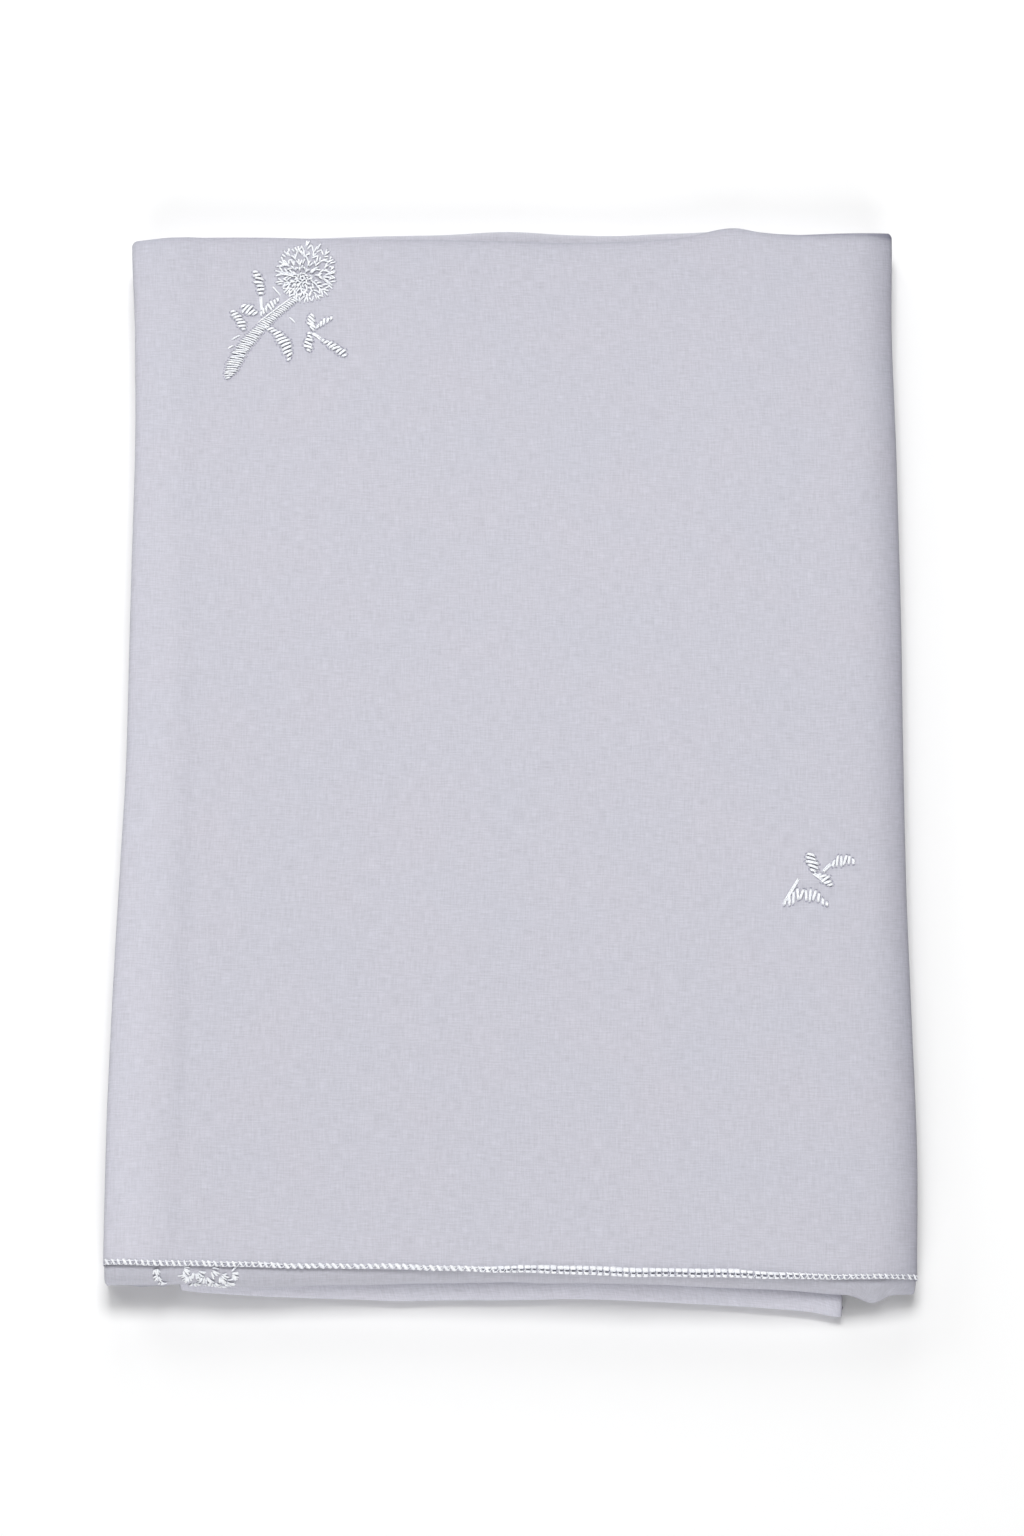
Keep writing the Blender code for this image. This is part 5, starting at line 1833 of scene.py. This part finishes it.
@dataclass
class SprigStem:
    """The sprig's stem: satin stitches across it, a smooth cord beside its upper half, and a rounded foot."""

    curve: tuple[Place, ...] = ((-79.2, 173.2), (-90.4, 163.4), (-99.4, 156.0), (-103.4, 141.6))
    widths: tuple[float, ...] = (2.4, 2.2, 7.0, 4.6)
    foot_share: float = 0.12
    cord: tuple[Place, Place] = ((-93.6, 163.2), (-79.4, 175.0))
    foot_narrowing: float = 0.86
    step: float = 0.01
    reach: Place = (0.88, 1.1)
    lean: Place = (0.2, 0.26)
    turning: float = 0.09
    rise: Place = (0.46, 0.1)
    rise_range: Place = (-0.05, 0.09)
    cord_rise: float = 0.12
    loose_rise: float = 0.3
    seed: int = 41
    samples: int = 200
    loose: tuple[tuple[Place, Place], ...] = (
        ((-81.6, 166.0), (-79.2, 163.6)),
        ((-102.6, 156.8), (-99.2, 158.8)),
        ((-103.8, 153.4), (-101.6, 154.6)),
        ((-88.0, 178.6), (-84.6, 174.4)),
    )

    def centre(self, share: Array) -> tuple[Array, Array]:
        """Return points and widths on the stem's middle line, from the flower to its foot."""
        rest = 1.0 - share
        weights = np.stack([rest**3, 3.0 * share * rest**2, 3.0 * share**2 * rest, share**3], axis=-1)
        return weights @ np.array(self.curve), weights @ np.array(self.widths)

    def build(self) -> bpy.types.Object:
        """Make the stem's stitches, dress them and return them."""
        draw = np.random.default_rng(self.seed)
        curve = self.centre(np.linspace(0.0, 1.0, self.samples))[0]
        lengths = arc_lengths(np.pad(curve, ((0, 0), (0, 1)))[:, None, :], 0)[:, 0]
        count = round(lengths[-1] / STITCH_PITCH)
        shares = np.linspace(0.0, 1.0, self.samples)
        share = np.interp(np.linspace(0.0, lengths[-1], count), lengths, shares)
        middle, width = self.centre(share)
        run = self.centre(share + self.step)[0] - middle
        run /= np.hypot(run[:, 0], run[:, 1])[:, None]
        aside = np.stack([-run[:, 1], run[:, 0]], axis=-1)
        foot = np.clip((share - 1.0 + self.foot_share) / self.foot_share, 0.0, 1.0)
        half = 0.5 * width * np.sqrt(1.0 - self.foot_narrowing * foot**2)
        uneven = draw.uniform(*self.reach, (2, count))
        lean = (self.lean[0] + self.lean[1] * half)[:, None] * run
        starts = middle - aside * (half * uneven[0])[:, None] + lean
        ends = middle + aside * (half * uneven[1])[:, None] - lean
        starts, ends = turned(starts, ends, draw.uniform(-self.turning, self.turning, count))
        note_shadow_spots(starts, ends, on_top)
        rise = self.rise[0] + self.rise[1] * half + draw.uniform(*self.rise_range, count)
        sets = [arched(starts, ends, rise, on_top)]
        for threads, height in (((self.cord,), self.cord_rise), (self.loose, self.loose_rise)):
            ways = np.array(threads)
            sets.append(arched(ways[:, 0], ways[:, 1], np.full(len(ways), height), on_top))
        return sew("flower_stem_stitches", sets, ["flower_stem"])


@dataclass(frozen=True)
class PetalRing:
    """A ring of petals round the flower's eye, each a few stitches that open like a fan.

    Attributes:
        petals: How many there are.
        spokes: How many stitches each has.
        middle: Where they lie, as a share of the way from the eye to the flower's outline.
        length: How long a stitch is.
        rise: How high it arches.
    """

    petals: int
    spokes: int
    middle: float
    length: float
    rise: float


@dataclass
class FlowerHead:
    """The sprig's round flower: rings of small fanned petals round an eye set low and to the left."""

    eye: Place = (-76.9, 181.4)
    middle: Place = (-75.2, 184.4)
    half: Place = (11.8, 12.7)
    rings: tuple[PetalRing, ...] = (
        PetalRing(16, 4, 0.86, 2.9, 0.5),
        PetalRing(13, 4, 0.68, 3.2, 0.66),
        PetalRing(10, 4, 0.48, 2.8, 0.8),
        PetalRing(8, 3, 0.29, 1.9, 0.86),
    )
    fan: float = 0.8
    openness: float = 0.92
    jitter: float = 0.34
    place_range: Place = (-0.075, 0.05)
    fan_narrowing: float = 0.9
    reach: Place = (0.62, 1.2)
    spoke_drop: float = 0.3
    rise_range: Place = (-0.06, 0.08)
    eye_turn: float = 0.5
    seed: int = 53
    eye_stroke: float = 0.75
    eye_rings: tuple[tuple[float, int, float], ...] = ((0.8, 5, 0.95), (1.9, 10, 0.9))

    def place(self, share: Array, angle: Array) -> Array:
        """Return places a share of the way from the eye to the outline, in a direction."""
        eye, middle, half = (np.array(value) for value in (self.eye, self.middle, self.half))
        rim = middle + half * np.stack([np.cos(angle), np.sin(angle)], axis=-1)
        return eye + (rim - eye) * np.asarray(share)[..., None]

    def ring(self, ring: PetalRing, turn: float, draw: np.random.Generator) -> tuple[Array, Array, Array]:
        """Return the starts, ends and heights of one ring's stitches.

        Args:
            ring: The ring.
            turn: How far it is turned, in petals.
            draw: Where its unevenness comes from.

        Returns:
            The starts, the ends and the heights.
        """
        count = ring.petals * ring.spokes
        spoke = (np.arange(count) % ring.spokes + 0.5) / ring.spokes - 0.5
        number = np.arange(count) // ring.spokes
        angle = TURN * (number + turn + self.openness * spoke) / ring.petals
        angle = angle + draw.uniform(-self.jitter, self.jitter, count) * TURN / count
        middle = self.place(np.full(count, ring.middle) + draw.uniform(*self.place_range, count), angle)
        away = middle - np.array(self.eye)
        heading = np.arctan2(away[:, 1], away[:, 0]) + 2.0 * self.fan * spoke
        heading = heading + draw.uniform(-self.jitter, self.jitter, count)
        fullest = 0.5 * ring.length * (1.0 - self.fan_narrowing * spoke**2)
        reach = fullest * draw.uniform(*self.reach, count)
        run = np.stack([np.cos(heading), np.sin(heading)], axis=-1) * reach[:, None]
        rise = ring.rise - self.spoke_drop * np.abs(spoke) + draw.uniform(*self.rise_range, count)
        return middle - run, middle + run, rise

    def build(self) -> bpy.types.Object:
        """Make the flower's stitches, dress them and return them."""
        draw = np.random.default_rng(self.seed)
        sets = [self.ring(ring, 0.5 * index, draw) for index, ring in enumerate(self.rings)]
        rim, tips, _ = sets[0]
        note_shadow_spots(0.5 * (rim + tips), tips, on_top, 0.1)
        for radius, stitches, rise in self.eye_rings:
            around = TURN * np.arange(stitches) / stitches
            middle = np.array(self.eye) + radius * np.stack([np.cos(around), np.sin(around)], axis=-1)
            heading = around + 0.5 * math.pi + self.eye_turn
            run = self.eye_stroke * np.stack([np.cos(heading), np.sin(heading)], axis=-1)
            sets.append((middle - run, middle + run, np.full(stitches, rise)))
        return sew("flower_head_stitches", [arched(*joined(sets), on_top)], ["flower_head"])


@dataclass(frozen=True)
class Spray:
    """A fan of stitches on the near fold: where it springs from, its reach, and the way it opens.

    Attributes:
        x: Where it springs from, along the fold.
        around: Where it springs from, round the fold.
        reach: Length of its middle stitch.
        heading: The way it opens, in degrees, 0 to the right and 90 down the fold.
        opening: Angle between its outermost stitches, in degrees.
        stitches: How many there are.
    """

    x: float
    around: float
    reach: float
    heading: float
    opening: float
    stitches: int


@dataclass(frozen=True)
class FoldMotif:
    """A stitched motif that lies over the near fold, under the hem, made of small sprays.

    Attributes:
        node: The solid that it stands for.
        sprays: Its sprays.
    """

    node: str
    sprays: tuple[Spray, ...]
    round_length: float = 12.0
    bounds: tuple[Place, Place] = ((-200.0, 0.08), (200.0, 0.93))
    turning: float = 0.12
    reach: Place = (0.8, 1.1)
    start_share: float = 0.25
    hub_spread: float = 0.25
    rise: float = 0.4
    rise_range: Place = (-0.05, 0.12)

    def build(self, number: int) -> bpy.types.Object:
        """Make the motif's stitches, dress them and return them."""
        draw = np.random.default_rng(200 + number)
        starts, ends = [], []
        for spray in self.sprays:
            for share in np.linspace(-0.5, 0.5, spray.stitches):
                angle = math.radians(spray.heading + share * spray.opening)
                angle += draw.uniform(-self.turning, self.turning)
                reach = spray.reach * (1.0 - 0.5 * share**2) * draw.uniform(*self.reach)
                start = self.start_share * spray.reach
                way = np.array((math.cos(angle), math.sin(angle) / self.round_length))
                stray = draw.uniform(-self.hub_spread, self.hub_spread, 2) * (1.0, 0.1)
                hub = np.array((spray.x, spray.around)) + stray
                starts.append(hub + start * way)
                ends.append(hub + reach * way)
        starts, ends = (np.clip(places, *self.bounds) for places in (starts, ends))
        rise = self.rise + draw.uniform(*self.rise_range, len(starts))
        return sew(self.node + "_stitches", [arched(starts, ends, rise, on_fold)], [self.node])


FOLD_MOTIFS = (
    FoldMotif(
        "fold_flower",
        (
            Spray(-113.4, 0.16, 3.6, 40.0, 70.0, 6),
            Spray(-111.0, 0.30, 4.2, 120.0, 90.0, 7),
            Spray(-108.6, 0.22, 3.8, 60.0, 120.0, 8),
            Spray(-109.4, 0.62, 3.4, 70.0, 110.0, 7),
            Spray(-105.4, 0.34, 4.4, 95.0, 130.0, 9),
            Spray(-103.6, 0.18, 3.6, 20.0, 110.0, 7),
            Spray(-102.8, 0.56, 3.8, 80.0, 120.0, 8),
            Spray(-100.4, 0.30, 4.0, 50.0, 110.0, 8),
            Spray(-98.6, 0.50, 3.8, 30.0, 100.0, 7),
            Spray(-99.6, 0.70, 3.2, 85.0, 90.0, 6),
            Spray(-96.8, 0.24, 3.2, 10.0, 80.0, 6),
            Spray(-105.8, 0.78, 2.8, 100.0, 80.0, 6),
        ),
    ),
    FoldMotif(
        "fold_flower_leaf",
        (
            Spray(-122.4, 0.16, 2.8, 70.0, 80.0, 5),
            Spray(-121.4, 0.36, 2.8, 100.0, 100.0, 5),
            Spray(-120.8, 0.58, 2.6, 60.0, 90.0, 5),
        ),
    ),
)


@dataclass
class SpilledStitches:
    """The fold flower's last few stitches, which lie on the lower fold just under it."""

    middle: float = -103.2
    spread: float = 4.2
    count: int = 12
    seed: int = 71
    rise: float = 0.35
    around: Place = (0.1, 0.2)
    aside: Place = (-0.9, 0.9)
    reach: Place = (0.16, 0.36)

    def build(self) -> bpy.types.Object:
        """Make the stitches, dress them and return them."""
        draw = np.random.default_rng(self.seed)
        x = self.middle + np.linspace(-self.spread, self.spread, self.count)
        around = draw.uniform(*self.around, self.count)
        starts = np.stack([x, around], axis=-1)
        run = [draw.uniform(*self.aside, self.count), draw.uniform(*self.reach, self.count)]
        ends = starts + np.stack(run, axis=-1)
        stitches = arched(starts, ends, np.full(self.count, self.rise), on_lower_fold)
        return sew("spilled_stitches", [stitches], [])


@dataclass
class StitchEndShadows:
    """Painted shadows: small dark discs where the stitches go into the cloth."""

    radius: float = 0.27
    lift: float = 0.035
    sides: int = 6

    def build(self) -> bpy.types.Object:
        """Make all of the painted shadow discs as one mesh, dress it and return it."""
        middles = np.concatenate(SHADOW_SPOTS) + (0.0, 0.0, self.lift)
        angles = TURN * np.arange(self.sides) / self.sides
        rim = np.stack([np.cos(angles), np.sin(angles), np.zeros(self.sides)], axis=-1) * self.radius
        points = (middles[:, None, :] + rim[None, :, :]).reshape(-1, 3)
        faces = np.arange(len(points)).reshape(-1, self.sides).tolist()
        piece = new_mesh_object("stitch_end_painted_shadows", points, faces, STRAND_COORDINATES, points)
        hand_over(piece, SHADED_COTTON, Slot.COTTON, [])
        return piece


# ---- the studio -----------------------------------------------------------------------------------


@dataclass(frozen=True)
class Lamp:
    """A square softbox that faces the pack.

    Attributes:
        name: Its name.
        place: Where it hangs, in metres.
        size: Its side.
        power: Its power in watts.
    """

    name: str
    place: tuple[float, float, float]
    size: float
    power: float

    def hang(self) -> None:
        """Hang the lamp in the scene."""
        data = bpy.data.lights.new(self.name, "AREA")
        data.energy, data.size = self.power, self.size
        lamp = bpy.data.objects.new(self.name, data)
        lamp.location = self.place
        tilt = math.acos(self.place[2] / math.hypot(*self.place))
        lamp.rotation_euler = (tilt, 0.0, math.atan2(self.place[1], self.place[0]) + 0.5 * math.pi)
        bpy.context.scene.collection.objects.link(lamp)


@dataclass
class Studio:
    """A white floor, softboxes high over the far side and the near side, and a camera that looks down."""

    elevation: float = math.radians(70.0)
    distance: float = 1.9
    target: tuple[float, float, float] = (0.0001, -0.00546, 0.01)
    focal_pixels: float = 5328.0
    frame_pixels: float = 1536.0
    sensor: float = 36.0
    nearest: float = 0.05
    floor_size: float = 14.0
    sky: float = 0.03
    lamps: tuple[Lamp, ...] = (
        Lamp("high_softbox", (0.0, 1.15, 2.8), 1.0, 46.5),
        Lamp("top_softbox", (0.0, 0.75, 2.9), 1.6, 13.5),
        Lamp("high_left_softbox", (-0.6, 0.6, 2.9), 1.6, 11.0),
        Lamp("low_left_softbox", (-1.6, 1.6, 1.2), 1.0, 12.0),
        Lamp("low_far_softbox", (0.0, 2.6, 1.3), 1.5, 18.0),
        Lamp("near_softbox", (0.0, -2.8, 1.25), 2.4, 62.0),
    )

    def add_camera(self) -> None:
        """Put the camera where the picture was taken from."""
        data = bpy.data.cameras.new("camera")
        data.sensor_width = self.sensor
        data.lens = self.focal_pixels / self.frame_pixels * self.sensor
        data.clip_start = self.nearest
        camera = bpy.data.objects.new("camera", data)
        back = (0.0, -math.cos(self.elevation), math.sin(self.elevation))
        camera.location = [middle + self.distance * way for middle, way in zip(self.target, back)]
        camera.rotation_euler = (0.5 * math.pi - self.elevation, 0.0, 0.0)
        bpy.context.scene.collection.objects.link(camera)
        bpy.context.scene.camera = camera

    def add_floor(self) -> None:
        """Lay the floor that the pack rests on."""
        half = 0.5 * self.floor_size
        mesh = bpy.data.meshes.new("floor")
        corners = [(-half, -half, 0.0), (half, -half, 0.0), (half, half, 0.0), (-half, half, 0.0)]
        mesh.from_pydata(corners, [], [(0, 1, 2, 3)])
        floor = bpy.data.objects.new("floor", mesh)
        bpy.context.scene.collection.objects.link(floor)
        mesh.materials.append(FloorFinish().material())

    def add_light(self) -> None:
        """Hang the lamps in a dim, even white room."""
        world = bpy.data.worlds.new("room")
        world.use_nodes = True
        background = world.node_tree.nodes["Background"]
        background.inputs["Color"].default_value = (1.0, 1.0, 1.0, 1.0)
        background.inputs["Strength"].default_value = self.sky
        bpy.context.scene.world = world
        for lamp in self.lamps:
            lamp.hang()
        bpy.context.scene.view_settings.view_transform = "Standard"

    def build(self) -> None:
        """Set up the floor and the light."""
        self.add_floor()
        self.add_light()


def main() -> None:
    """Dress the pack, piece by piece, and note both sizes."""
    logging.basicConfig(level=logging.INFO, format="%(message)s")
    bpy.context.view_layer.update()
    studio = Studio()
    studio.add_camera()
    studio.build()
    LowerFold().build()
    HiddenLeaves(
        "lower_layers_cloth",
        lower=True,
        passes=10,
        seed=61,
        nodes=("folded_layers",),
        lies_on="lower_fold_cloth",
    ).build()
    UpperFold().build()
    HiddenLeaves(
        "upper_layers_cloth", lower=False, passes=8, seed=67, nodes=(), lies_on="upper_fold_cloth"
    ).build()
    leaf, leaf_grid = TopLeaf().build()
    sewn_on = OverlockedHem().build()
    sewn_on += [leaflet.build(number) for number, leaflet in enumerate(LEAVES)]
    sewn_on += [SprigStem().build(), FlowerHead().build()]
    declare_leaf(leaf, leaf_grid)
    for number, motif in enumerate(FOLD_MOTIFS):
        motif.build(number)
    SpilledStitches().build()
    StitchEndShadows().build()


if __name__ == "__main__":
    main()
